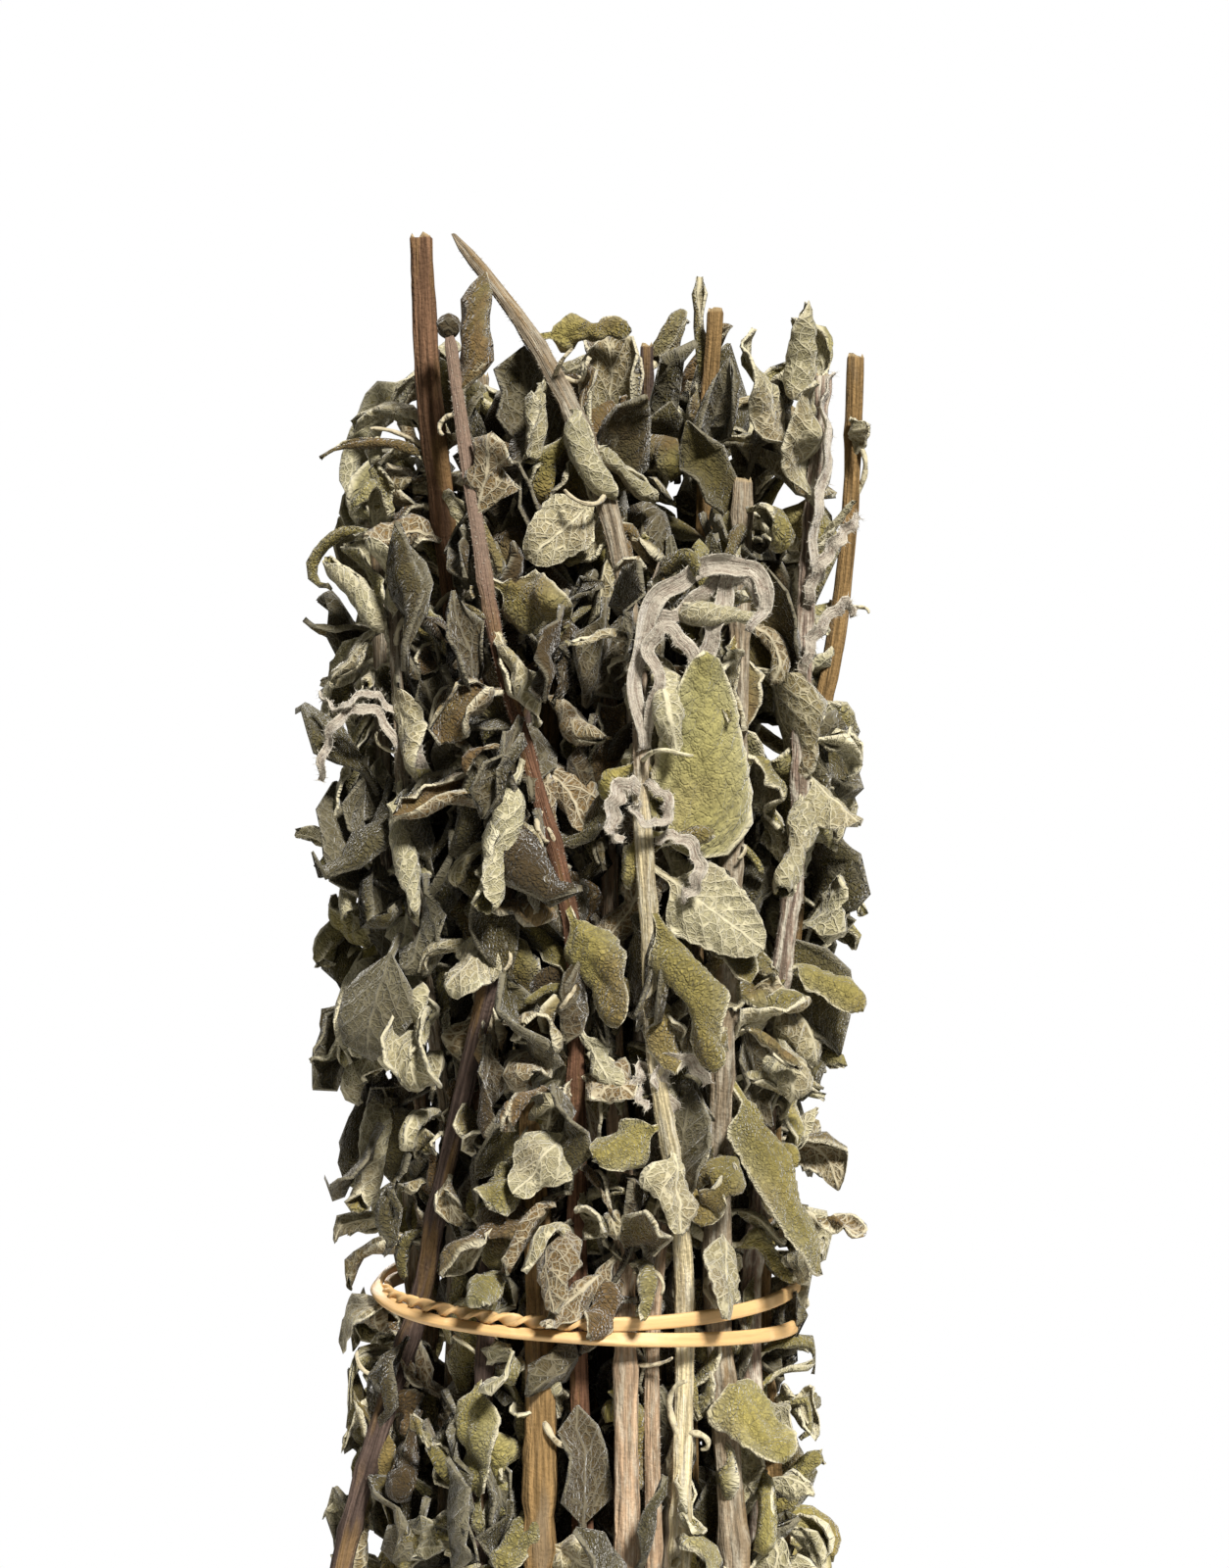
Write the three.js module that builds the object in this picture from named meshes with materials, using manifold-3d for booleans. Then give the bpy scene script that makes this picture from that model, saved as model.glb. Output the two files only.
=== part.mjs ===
// A tied bunch of dried sage: leafy stems held by one rubber band, standing on their cut ends.
// Millimetres, +Z up, origin at the middle of the base. The front of the bunch faces -Y.
import * as THREE from "three";
import Module from "manifold-3d";

const wasm = await Module();
wasm.setup();

// ---- Driving dimensions -------------------------------------------------------------------------

const BAND_Z = 92.5; // height of the rubber band
const BAND_CENTRE_X = 2;
const BAND_HALF_X = 35; // half axes of the band's centreline
const BAND_HALF_Y = 31.5;
const BAND_TILT = -1.2; // how far the band drops from its middle to its right side
const BAND_SAG = 1.8; // how far it drops from its middle to the front
const BAND_SPREAD = 2.6; // the two turns lie this far above and below their mean on the right
const BAND_LAP = 1.35; // and this far outside and inside their mean on the left, where they cross
const BAND_WIDTH = 2.5;
const BAND_THICKNESS = 1.5;
const BAND_STEPS = 64;

const BLADE_THICKNESS = 0.7;
const PETIOLE_HALF_WIDTH = 0.75;
const STEM_SIDES = 4; // sage has square stems
const STEM_CORNER = 1.25; // how far a stem's corners stand out, over its radius
const STRETCHES = 2; // straight stretches of stem between two points of its route, unless it has its own
const TIP_SHARE = 0.62; // radius at the top of a stem over that at its base

const LEAF_FLOOR = 3; // no leaf reaches lower
const LEAF_CEILING = 262; // nor higher
const BUNCH_CENTRE_X = 1;
const BUNCH_HALF_X = 46; // half axes of what the leaves fill
const BUNCH_HALF_Y = 43;
const GAP = 0.3; // least clearance between two stems' solids
const SAMPLE_SLACK = 0.85; // added because clearance is measured between sample points
const SAMPLE_STEP = 2; // between sample points along a leaf
const ACROSS_STEP = 2.5; // the same across a leaf
const STEM_SAMPLE_STEP = 1.5;
const BAND_SAMPLES = 128;
const ROOT_REACH = 6; // leaves of one stem may meet this near their root
const WAIST_DEPTH = 0.1; // the oval is this much narrower at the band
const WAIST_REACH = 45; // and widens over about this height
const TRIES = 32; // draws at each growing point
const SMALLEST_LEAF = 0.52; // size of the last draw over that of the first
const LEVELS = 20; // leaf pairs on the longest stem
const LEVEL_JITTER = 0.35; // how far a pair may move up, over the stem's pitch
const ROLLED_SHARE = 0.45; // of the drawn leaves
const DRAPED_SHARE = 0.5; // of the drawn leaves
const RISING_SHARE = 0.35; // of those that aren't draped
const SIGHT_STEP = 3; // between the points that keep a way to the front free
const SIGHT_REACH = 50; // how far forward they go
const SIGHT_RADIUS = 1.6;
const SIGHT_OUT = 1.2; // and how far out, over what the leaves fill

// ---- Stems --------------------------------------------------------------------------------------

// Stems that show, each with the tone of its dried leaves and bark, its route from the cut end upwards,
// its radius at the base, the first height that carries leaves, the spacing of its leaf pairs, the size
// of its leaves and the last height that carries them.
const PLACED_STEMS = [
  {
    name: "stem_tall_cut",
    tone: "brown",
    route: [[-16.5, 0, 0], [-16.3, -0.5, 50], [-16, -1, 91], [-16.5, -3, 140], [-18.5, -5.5, 180],
      [-21.6, -8.5, 215], [-25, -9, 243], [-26.4, -9, 269.5]],
    radius: 2.6,
    leafFrom: 196,
    pitch: 21,
    leafSize: 0.8,
    leafTo: 236,
  },
  {
    name: "stem_pointed",
    tone: "brown",
    route: [[14, -13, 0], [13, -14, 50], [12, -15, 91], [10.5, -18, 140], [9.6, -21, 178], [8.4, -22, 206],
      [2.4, -19.5, 231], [-7.2, -16, 251.3], [-20.8, -12, 269.8]],
    radius: 2.1,
    leafFrom: 196,
    pitch: 21,
    leafSize: 0.9,
    leafTo: 250,
  },
  {
    name: "stem_red",
    tone: "brown",
    route: [[1, -22, 0], [0.8, -23, 50], [0, -24, 91], [-0.3, -26.5, 125], [-1, -28, 155], [-7.2, -28.5, 180],
      [-13.1, -27, 201], [-17.5, -23.5, 227], [-21.3, -19, 253]],
    radius: 1.9,
    leafFrom: 104,
    pitch: 21,
    leafSize: 1,
    leafTo: 250,
  },
  {
    name: "stem_pale_front",
    tone: "grey",
    route: [[16, -28, 0], [16.4, -27.5, 50], [17.4, -23.2, 91], [16, -27.8, 112], [12.5, -32.5, 134],
      [11.5, -35, 155], [10.2, -35, 178], [10.4, -33, 202], [13, -32, 214]],
    radius: 2,
    leafFrom: 14,
    pitch: 21,
    leafSize: 1,
    leafTo: 214,
  },
  {
    name: "stem_right_front",
    tone: "grey",
    route: [[29, -12, 0], [29.5, -12, 50], [28.3, -11.5, 91], [30, -13, 110], [32.5, -15.5, 140],
      [35.8, -18, 168], [36.8, -18, 194.5], [37.8, -17, 215], [40.5, -13.5, 246]],
    radius: 2.2,
    leafFrom: 10,
    pitch: 21,
    leafSize: 1,
    leafTo: 246,
  },
  {
    name: "stem_dark_diagonal",
    tone: "brown",
    route: [[-45, -13, 0], [-42, -13.5, 30], [-38, -11, 55], [-27, -7.6, 91], [-23.5, -13.5, 108],
      [-18.5, -22, 129], [-12.8, -26, 154], [-9.5, -22, 176], [-8, -17, 198]],
    radius: 2.3,
    leafFrom: 40,
    pitch: 21,
    leafSize: 0.9,
    leafTo: 198,
  },
  {
    name: "stem_thick",
    tone: "olive",
    route: [[-7, -27, 0], [-6.4, -27, 50], [-6.2, -24.8, 91], [-7.5, -22, 125], [-7.2, -18, 155],
      [-5, -12, 190], [-5.5, -9, 222]],
    radius: 2.9,
    leafFrom: 22,
    pitch: 21,
    leafSize: 0.95,
    leafTo: 222,
  },
  {
    name: "stem_pink",
    tone: "olive",
    route: [[8, -30, 0], [8, -29.5, 50], [7.6, -26.3, 91], [7, -24, 115], [5.5, -21, 140], [5, -17.5, 165],
      [5, -14.5, 192], [6, -12.5, 218]],
    radius: 2.3,
    leafFrom: 16,
    pitch: 21,
    leafSize: 0.9,
    leafTo: 218,
  },
  {
    name: "stem_thin_pale",
    tone: "grey",
    route: [[12, -25, 0], [12.2, -25.8, 50], [12.2, -24, 91], [15.5, -20.5, 120], [18.5, -21.5, 150],
      [20.5, -22, 178], [21.5, -15.5, 215]],
    radius: 1.6,
    leafFrom: 100,
    pitch: 22,
    leafSize: 0.95,
    leafTo: 215,
  },
  {
    name: "stem_grey_thick",
    tone: "olive",
    route: [[27, -22, 0], [25.6, -22.5, 50], [22.8, -19.3, 91], [22.8, -21, 112], [23.5, -24, 135],
      [24.5, -25, 160], [26, -23, 190], [27, -17, 228]],
    radius: 2.7,
    leafFrom: 12,
    pitch: 21,
    leafSize: 1,
    leafTo: 228,
  },
  {
    name: "stem_right_low",
    tone: "olive",
    route: [[35, -3, 0], [33.5, -4, 50], [30.5, -2.5, 91], [32.5, -3, 120], [36, -4, 155], [38, -5, 205]],
    radius: 2.1,
    leafFrom: 8,
    pitch: 21,
    leafSize: 0.95,
    leafTo: 205,
  },
  {
    name: "stem_right_splayed",
    tone: "grey",
    route: [[30, 8, 0], [29, 8, 50], [27.6, 7.5, 91], [31, 8, 140], [38, 8.5, 175], [44, 8.5, 204],
      [46.5, 8, 228], [47.2, 7, 251.5]],
    radius: 2.4,
    leafFrom: 14,
    pitch: 21,
    leafSize: 0.9,
    leafTo: 240,
  },
  {
    name: "stem_ochre_cut",
    tone: "olive",
    route: [[19, 0, 0], [18.5, -1, 50], [18, -1, 91], [19.5, -2, 150], [20.6, -3, 200], [21.3, -4, 234],
      [22.9, -4, 257.7]],
    radius: 2.1,
    leafFrom: 190,
    pitch: 21,
    leafSize: 0.85,
    leafTo: 240,
  },
  {
    name: "stem_left_edge",
    tone: "grey",
    route: [[-33, 2, 0], [-31, 1, 50], [-28, -0.5, 91], [-30, -3, 130], [-32.5, -5, 170], [-34, -6, 222]],
    radius: 1.9,
    leafFrom: 10,
    pitch: 21,
    leafSize: 1,
    leafTo: 222,
  },
  {
    name: "stem_left_pale",
    tone: "grey",
    route: [[-24, -7, 0], [-22.5, -6.5, 50], [-21, -5.5, 91], [-21.5, -8.5, 118], [-25, -16, 145],
      [-28.5, -19, 175], [-30.5, -17.5, 212]],
    radius: 1.7,
    leafFrom: 96,
    pitch: 21,
    leafSize: 1.05,
    leafTo: 212,
  },
  {
    name: "stem_left_front",
    tone: "olive",
    route: [[-17, -24, 0], [-16.5, -23.5, 50], [-15, -21.5, 91], [-13.5, -17.5, 118], [-16, -14, 150],
      [-17, -12, 190], [-15, -10, 216]],
    radius: 1.9,
    leafFrom: 12,
    pitch: 21,
    leafSize: 1,
    leafTo: 216,
  },
];

// Rings of further stems: how many, from which angle, the step between them, and their distance out.
const STEM_RINGS = [
  { name: "stem_back", count: 8, from: 36, step: 18, distance: 30, leafFrom: 10, pitch: 24, leafSize: 1.05 },
  { name: "stem_middle", count: 4, from: 28, step: 40, distance: 17.5, leafFrom: 175, pitch: 24, leafSize: 0.9 },
  { name: "stem_heart", count: 3, from: 60, step: 120, distance: 6, leafFrom: 190, pitch: 25, leafSize: 0.85 },
];
const RING_TONES = ["grey", "olive", "brown"];
const RING_DEPTH = 0.9; // depth of a ring over its width
const RING_HEIGHTS = [0, 48, BAND_Z, 135, 180, 225];
const RING_SPREADS = [1.04, 1, 0.93, 1, 1.08, 1.14]; // distance out at those heights, over the ring's own
const RING_WOBBLE = 1.1;
const RING_TOP_LOW = 198;
const RING_TOP_HIGH = 258;

// Stretches of stem that are bare to the front: the stem, and the lowest and the highest point.
const BARE_STRETCHES = [
  ["stem_tall_cut", 212, 262], ["stem_pointed", 204, 262], ["stem_red", 150, 250],
  ["stem_pale_front", 76, 206], ["stem_right_front", 150, 240], ["stem_dark_diagonal", 46, 152],
  ["stem_right_splayed", 190, 248], ["stem_thick", 46, 92], ["stem_pink", 46, 88],
  ["stem_thin_pale", 46, 90], ["stem_grey_thick", 46, 80], ["stem_ochre_cut", 222, 256],
];

// Numbers from 0 to 1 that are the same for the same seed.
function randomSource(seed) {
  let state = seed >>> 0;
  return () => {
    state = (state + 0x6d2b79f5) >>> 0;
    let t = state;
    t = Math.imul(t ^ (t >>> 15), t | 1);
    t ^= t + Math.imul(t ^ (t >>> 7), t | 61);
    return ((t ^ (t >>> 14)) >>> 0) / 4294967296;
  };
}

const between = (low, high, share) => low + (high - low) * share;

// The stems of a ring, whose routes follow the waist that the band gives the bunch. They are nearly
// straight, so one stretch between two points is enough.
function ringStems(ring, firstSeed) {
  return Array.from({ length: ring.count }, (_, i) => {
    const draw = randomSource(firstSeed + i);
    const angle = THREE.MathUtils.degToRad(ring.from + i * ring.step + between(-2, 2, draw()));
    const top = between(RING_TOP_LOW, RING_TOP_HIGH, draw());
    const wobble = () => between(-RING_WOBBLE, RING_WOBBLE, draw());
    const route = RING_HEIGHTS.map((z, level) => {
      const distance = ring.distance * RING_SPREADS[level];
      return [
        BUNCH_CENTRE_X + distance * Math.cos(angle) + wobble(),
        distance * RING_DEPTH * Math.sin(angle) + wobble(),
        level < RING_HEIGHTS.length - 1 ? z : top,
      ];
    });
    return {
      name: ring.name + "_" + (i + 1),
      tone: RING_TONES[i % RING_TONES.length],
      route,
      radius: between(1.7, 2.5, draw()),
      leafFrom: ring.leafFrom,
      leafTo: top,
      pitch: ring.pitch,
      leafSize: ring.leafSize,
      stretches: 1,
    };
  });
}

const stems = [...PLACED_STEMS, ...STEM_RINGS.flatMap((ring, i) => ringStems(ring, 500 + 100 * i))];
for (const stem of stems) {
  const corners = stem.route.map((p) => new THREE.Vector3(...p));
  const curve = new THREE.CatmullRomCurve3(corners, false, "catmullrom", 0.5);
  stem.points = curve.getPoints((stem.stretches ?? STRETCHES) * (stem.route.length - 1));
  stem.base = stem.route[0][2];
  stem.top = stem.route.at(-1)[2];
  stem.leaves = [];
}

const radiusAt = (stem, z) => stem.radius * between(1, TIP_SHARE, (z - stem.base) / (stem.top - stem.base));

// The point of a stem's axis at a height.
function axisAt(stem, z) {
  const next = Math.max(1, stem.points.findIndex((p) => p.z >= z));
  const [a, b] = [stem.points[next - 1], stem.points[next]];
  return a.clone().lerp(b, (z - a.z) / (b.z - a.z));
}

// ---- Solids -------------------------------------------------------------------------------------

const asManifold = (vertices, triangles) =>
  new wasm.Manifold(
    new wasm.Mesh({
      numProp: 3,
      vertProperties: new Float32Array(vertices.flatMap((p) => [p.x, p.y, p.z])),
      triVerts: new Uint32Array(triangles.flat()),
    }),
  );

// Triangles of a tube of rings of points that run anticlockwise, seen against the way it goes.
function tubeTriangles(rings, sides, closed) {
  const triangles = [];
  for (let r = 0; r < (closed ? rings : rings - 1); r++)
    for (let s = 0; s < sides; s++) {
      const [a, b] = [r * sides + s, r * sides + ((s + 1) % sides)];
      const [c, d] = [((r + 1) % rings) * sides + s, ((r + 1) % rings) * sides + ((s + 1) % sides)];
      triangles.push([a, b, d], [a, d, c]);
    }
  if (!closed)
    for (let s = 1; s < sides - 1; s++) {
      const last = (rings - 1) * sides;
      triangles.push([0, s + 1, s], [last, last + s, last + s + 1]);
    }
  return triangles;
}

// A square stem: level rings of corners up the route, narrowing towards the top.
function stemSolid(stem) {
  const corners = stem.points.flatMap((middle) => {
    const reach = radiusAt(stem, middle.z) * STEM_CORNER;
    return Array.from({ length: STEM_SIDES }, (_, s) => {
      const turn = ((s + 0.5) / STEM_SIDES) * 2 * Math.PI;
      return new THREE.Vector3(reach * Math.cos(turn), reach * Math.sin(turn), 0).add(middle);
    });
  });
  return asManifold(corners, tubeTriangles(stem.points.length, STEM_SIDES, false));
}

// The band's centreline: one loop that goes round twice, side by side on the right, crossing on the left.
function bandPoint(share) {
  const turn = share * 4 * Math.PI;
  const lap = 1 + (BAND_LAP / BAND_HALF_X) * Math.sin(turn / 2);
  const rise = BAND_SPREAD * Math.cos(turn / 2) + BAND_TILT * Math.cos(turn) + BAND_SAG * Math.sin(turn);
  return new THREE.Vector3(
    BAND_CENTRE_X + BAND_HALF_X * lap * Math.cos(turn),
    BAND_HALF_Y * lap * Math.sin(turn),
    BAND_Z + rise,
  );
}

// The rubber band: a flat strip swept along that loop, its broad side against the bunch.
function bandSolid() {
  const vertices = [];
  for (let i = 0; i < BAND_STEPS; i++) {
    const middle = bandPoint(i / BAND_STEPS);
    const outward = new THREE.Vector3(middle.x - BAND_CENTRE_X, middle.y, 0).normalize();
    for (const [across, up] of [[-1, -1], [1, -1], [1, 1], [-1, 1]])
      vertices.push(
        middle.clone().addScaledVector(outward, (across * BAND_THICKNESS) / 2)
          .add(new THREE.Vector3(0, 0, (up * BAND_WIDTH) / 2)),
      );
  }
  return asManifold(vertices, tubeTriangles(BAND_STEPS, 4, true).map(([a, b, c]) => [a, c, b]));
}

// ---- Leaves -------------------------------------------------------------------------------------

// Leaves that show most: their stem, the height they leave it at, the way from there to their tip and
// their half width, or their radius where they are rolled up.
const PLACED_LEAVES = {
  stem_pale_front: [
    { z: 171, tip: [17, -4, 23], halfWidth: 9, roll: 0.5, bend: 0.5, twist: 0.25, wave: 1 },
    { z: 166, tip: [19, 2, -14], halfWidth: 8.5, roll: 0.25, bend: -0.3, twist: 0.1, wave: 0.8 },
    { z: 206, tip: [18, -3, -1], rolled: 2.4, bend: -1.3 },
    { z: 204, tip: [5, -7, -21], halfWidth: 4.2, roll: 1.6, bend: -0.6, twist: 0.6, wave: 0.6 },
    { z: 160, tip: [11, -4, -27], halfWidth: 6, roll: 1.3, bend: -0.7, twist: 0.6, wave: 1 },
    { z: 124, tip: [-12, -5, -5], halfWidth: 5, roll: 1.1, bend: -0.6, twist: 0.5, wave: 1 },
    { z: 120, tip: [3, -8, -13], halfWidth: 4.6, roll: 1.2, bend: -0.6, twist: -0.6, wave: 1 },
  ],
  stem_grey_thick: [
    { z: 132, tip: [17, -3, -33], halfWidth: 4.4, roll: 0.9, bend: -0.4, twist: -0.4, wave: 0.4 },
    { z: 106, tip: [1, -13, -13], halfWidth: 4.4, roll: 0.6, bend: -0.7, twist: 0, wave: 0.3 },
    { z: 82, tip: [10, -7, -13], halfWidth: 6.4, roll: 0.6, bend: -0.3, twist: 0.3, wave: 0.8 },
  ],
  stem_left_pale: [
    { z: 181, tip: [4, -6, -24], rolled: 3.4, bend: -0.7 },
    { z: 206, tip: [11, -3, -6], halfWidth: 4.2, roll: 0.4, bend: 0.4, twist: 0, wave: 0.3 },
    { z: 204, tip: [-3, -3, 15], halfWidth: 4, roll: 0.9, bend: 0.3, twist: 0.3, wave: 0.5 },
    { z: 200, tip: [-11, -1, 16], rolled: 2.8, bend: 0.3 },
    { z: 198, tip: [4, -6, -22], halfWidth: 5, roll: 1.5, bend: -0.5, twist: 1.1, wave: 1 },
  ],
  stem_left_edge: [
    { z: 176, tip: [-5, -8, -20], rolled: 3, bend: -0.6 },
    { z: 156, tip: [-9, -7, -24], rolled: 3.2, bend: -0.4 },
    { z: 131, tip: [-5, -8, -24], rolled: 3, bend: -0.5 },
    { z: 190, tip: [-8, -4, -18], halfWidth: 5, roll: 1.2, bend: -0.6, twist: 0.5, wave: 0.7 },
  ],
  stem_pointed: [
    { z: 243, tip: [8, -5, -18], rolled: 3.4, bend: -0.6 },
    { z: 247, tip: [-3, -5, -16], rolled: 2.7, bend: -0.5 },
    { z: 236, tip: [12, 2, -11], rolled: 2.2, bend: -0.7 },
    { z: 226, tip: [-12, -5, -11], halfWidth: 6.5, roll: 0.5, bend: -0.9, twist: 0.2, wave: 0.5 },
    { z: 252, tip: [16, 3, 2], halfWidth: 4.5, roll: 1.4, bend: -0.9, twist: 0.4, wave: 0.8 },
  ],
  stem_right_front: [
    { z: 236, tip: [-1, -1, 22], halfWidth: 5, roll: 1.6, bend: 0.3, twist: 0.2, wave: 0.3 },
    { z: 222, tip: [1, -6, 22], halfWidth: 5.5, roll: 1.5, bend: 0.4, twist: -0.2, wave: 0.3 },
    { z: 229, tip: [-12, -2, 24], halfWidth: 4.5, roll: 1.2, bend: 0.3, twist: 0.3, wave: 0.5 },
    { z: 214, tip: [8, -4, 10], rolled: 1.3, bend: 0.7 },
    { z: 178, tip: [-4, -10, -17], rolled: 3, bend: -0.8 },
    { z: 180, tip: [7, -4, -10], halfWidth: 5, roll: 1.4, bend: -1, twist: 0.5, wave: 0.6 },
    { z: 147, tip: [12, -4, -6], halfWidth: 4.6, roll: 1, bend: -2.2, twist: 0.3, wave: 0.4 },
  ],
  stem_right_splayed: [
    { z: 238, tip: [2, -8, 1], halfWidth: 3.4, roll: 0.6, bend: 0.5, twist: 0.3, wave: 0.2 },
  ],
  stem_left_front: [
    { z: 84, tip: [-3, -7, -21], halfWidth: 5.2, roll: 1, bend: -0.4, twist: 0.3, wave: 0.8 },
  ],
  stem_thick: [
    { z: 64, tip: [-6, -5, -12], halfWidth: 5, roll: 0.7, bend: -0.4, twist: 0.4, wave: 0.8 },
    { z: 56, tip: [11, -6, -4], halfWidth: 4.6, roll: 1, bend: -0.5, twist: 0.3, wave: 0.6 },
    { z: 118, tip: [-7, -9, -8], halfWidth: 5, roll: 1, bend: -0.6, twist: -0.4, wave: 1 },
  ],
  stem_red: [
    { z: 124, tip: [-10, -8, -11], halfWidth: 6, roll: 1, bend: -0.7, twist: 0.4, wave: 1.2 },
    { z: 184, tip: [-6, -7, -26], rolled: 3, bend: -0.5 },
    { z: 160, tip: [9, -6, -20], halfWidth: 5, roll: 1.3, bend: -0.7, twist: 0.7, wave: 1 },
    { z: 205, tip: [8, -5, -17], rolled: 3, bend: -0.4 },
    { z: 212, tip: [14, -3, -7], halfWidth: 6, roll: 0.8, bend: -0.4, twist: 0.4, wave: 1 },
  ],
  stem_dark_diagonal: [
    { z: 154, tip: [-8, -6, -9], halfWidth: 5.4, roll: 1.5, bend: -1.4, twist: 0.5, wave: 1 },
  ],
};

// A placed leaf with its frame: the arc of its midrib starts so that it ends at the tip.
function placedLeaf(stem, { z, tip, halfWidth = 0, rolled = 0, roll = 0, bend, twist = 0, wave = 0 }) {
  const root = axisAt(stem, z);
  const chord = new THREE.Vector3(...tip);
  const reach = chord.length();
  chord.normalize();
  const facing = new THREE.Vector3(root.x - BUNCH_CENTRE_X, root.y, 0).normalize();
  facing.addScaledVector(chord, -facing.dot(chord)).normalize();
  const half = bend / 2;
  return {
    root,
    along: chord.clone().multiplyScalar(Math.cos(half)).addScaledVector(facing, -Math.sin(half)),
    facing: facing.clone().multiplyScalar(Math.cos(half)).addScaledVector(chord, Math.sin(half)),
    length: (reach * half) / Math.sin(half),
    halfWidth,
    rolledRadius: rolled,
    roll,
    bend,
    twist,
    wave,
    phase: z,
    placed: true,
    reachOut: 1.3,
  };
}

// A leaf's surface: u runs from its root to its tip and v from edge to edge. The midrib is an arc that
// bends by `bend`, the leaf turns about it by `twist`, and each half rolls down by `roll`.
function leafFrame(leaf, u) {
  const { along, facing } = leaf;
  const angle = leaf.bend * u;
  const bendRadius = leaf.length / leaf.bend;
  const centre = leaf.root.clone().addScaledVector(along, bendRadius * Math.sin(angle))
    .addScaledVector(facing, bendRadius * (1 - Math.cos(angle)));
  const tangent = along.clone().multiplyScalar(Math.cos(angle)).addScaledVector(facing, Math.sin(angle));
  const normal = facing.clone().multiplyScalar(Math.cos(angle)).addScaledVector(along, -Math.sin(angle));
  normal.applyAxisAngle(tangent, leaf.twist * u);
  return { centre, normal, side: tangent.clone().cross(normal) };
}

// Half width of the blade over its greatest: a stalk, then an oblong that narrows to the tip.
const OUTLINE_U = [0, 0.16, 0.36, 0.72, 1];
const OUTLINE_WIDTH = [0, 0, 1, 0.84, 0];
function outline(u) {
  const next = Math.max(1, OUTLINE_U.findIndex((x) => x >= u));
  const share = (u - OUTLINE_U[next - 1]) / (OUTLINE_U[next] - OUTLINE_U[next - 1]);
  return between(OUTLINE_WIDTH[next - 1], OUTLINE_WIDTH[next], share);
}

const WAVE_TURNS = 7; // how far an edge's wave runs along a leaf, in radians
function leafPoint(leaf, u, v, layer) {
  const { centre, normal, side } = leafFrame(leaf, u);
  const half = u < 1 ? Math.max(PETIOLE_HALF_WIDTH, leaf.halfWidth * outline(u)) : 0;
  const turn = leaf.roll * v * outline(u);
  const across = turn ? (half * v * Math.sin(turn)) / turn : half * v;
  const drop = turn ? (half * v * (1 - Math.cos(turn))) / turn : 0;
  const wave = leaf.wave * v * Math.cos(WAVE_TURNS * u + leaf.phase) * outline(u);
  const out = normal.clone().multiplyScalar(Math.cos(turn)).addScaledVector(side, Math.sin(turn));
  return centre.addScaledVector(side, across).addScaledVector(normal, wave - drop)
    .addScaledVector(out, (layer * BLADE_THICKNESS) / 2);
}

const LARGE_LEAF = 24; // leaves longer than this have one row of facets more

// Where along a leaf its solid has rows of vertices, from root to tip.
function leafRows(leaf) {
  const isLarge = leaf.length > LARGE_LEAF;
  if (leaf.rolledRadius) return isLarge ? [0, 0.22, 0.5, 0.82, 1] : [0, 0.28, 0.75, 1];
  return isLarge ? [0, 0.36, 0.72, 1] : [0, 0.5, 1];
}

// Sample points all over a leaf's facets, or along the middle of a rolled leaf.
function leafSamples(leaf) {
  const rows = leafRows(leaf);
  const lines = leaf.rolledRadius ? [0] : [-1, 0, 1];
  const knots = rows.map((u) => lines.map((v) => leafPoint(leaf, u, v, 0)));
  const across = Math.ceil(leaf.halfWidth / ACROSS_STEP);
  const samples = [];
  for (let row = 1; row < rows.length; row++) {
    const steps = Math.ceil(((rows[row] - rows[row - 1]) * leaf.length) / SAMPLE_STEP);
    for (let step = 1; step <= steps; step++) {
      const line = lines.map((_, k) => knots[row - 1][k].clone().lerp(knots[row][k], step / steps));
      samples.push(line[0]);
      for (let k = 1; k < line.length; k++)
        for (let i = 1; i <= across; i++) samples.push(line[k - 1].clone().lerp(line[k], i / across));
    }
  }
  return samples;
}

// An open leaf as a thin closed blade: its root, rows of edge, midrib and edge, and its tip. Both faces
// are split into triangles alike.
function bladeSolid(leaf) {
  const rows = leafRows(leaf).slice(1, -1);
  const vertices = [];
  for (const layer of [1, -1]) {
    vertices.push(leafPoint(leaf, 0, 0, layer));
    for (const u of rows) for (const v of [-1, 0, 1]) vertices.push(leafPoint(leaf, u, v, layer));
    vertices.push(leafPoint(leaf, 1, 0, layer));
  }
  const tip = 1 + rows.length * 3;
  const face = [[0, 2, 1], [0, 3, 2]];
  for (let row = 1; row < tip - 3; row += 3)
    for (const a of [row, row + 1]) face.push([a, a + 1, a + 3], [a + 1, a + 4, a + 3]);
  face.push([tip - 3, tip - 2, tip], [tip - 2, tip - 1, tip]);
  const rim = [0];
  for (let row = 1; row < tip; row += 3) rim.push(row + 2);
  rim.push(tip);
  for (let row = tip - 3; row > 0; row -= 3) rim.push(row);
  const under = tip + 1;
  const triangles = [...face, ...face.map(([a, b, c]) => [a + under, c + under, b + under])];
  rim.forEach((a, i) => {
    const b = rim[(i + 1) % rim.length];
    triangles.push([a, a + under, b + under], [a, b + under, b]);
  });
  return asManifold(vertices, triangles);
}

const ROLL_SIDES = 3;

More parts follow.
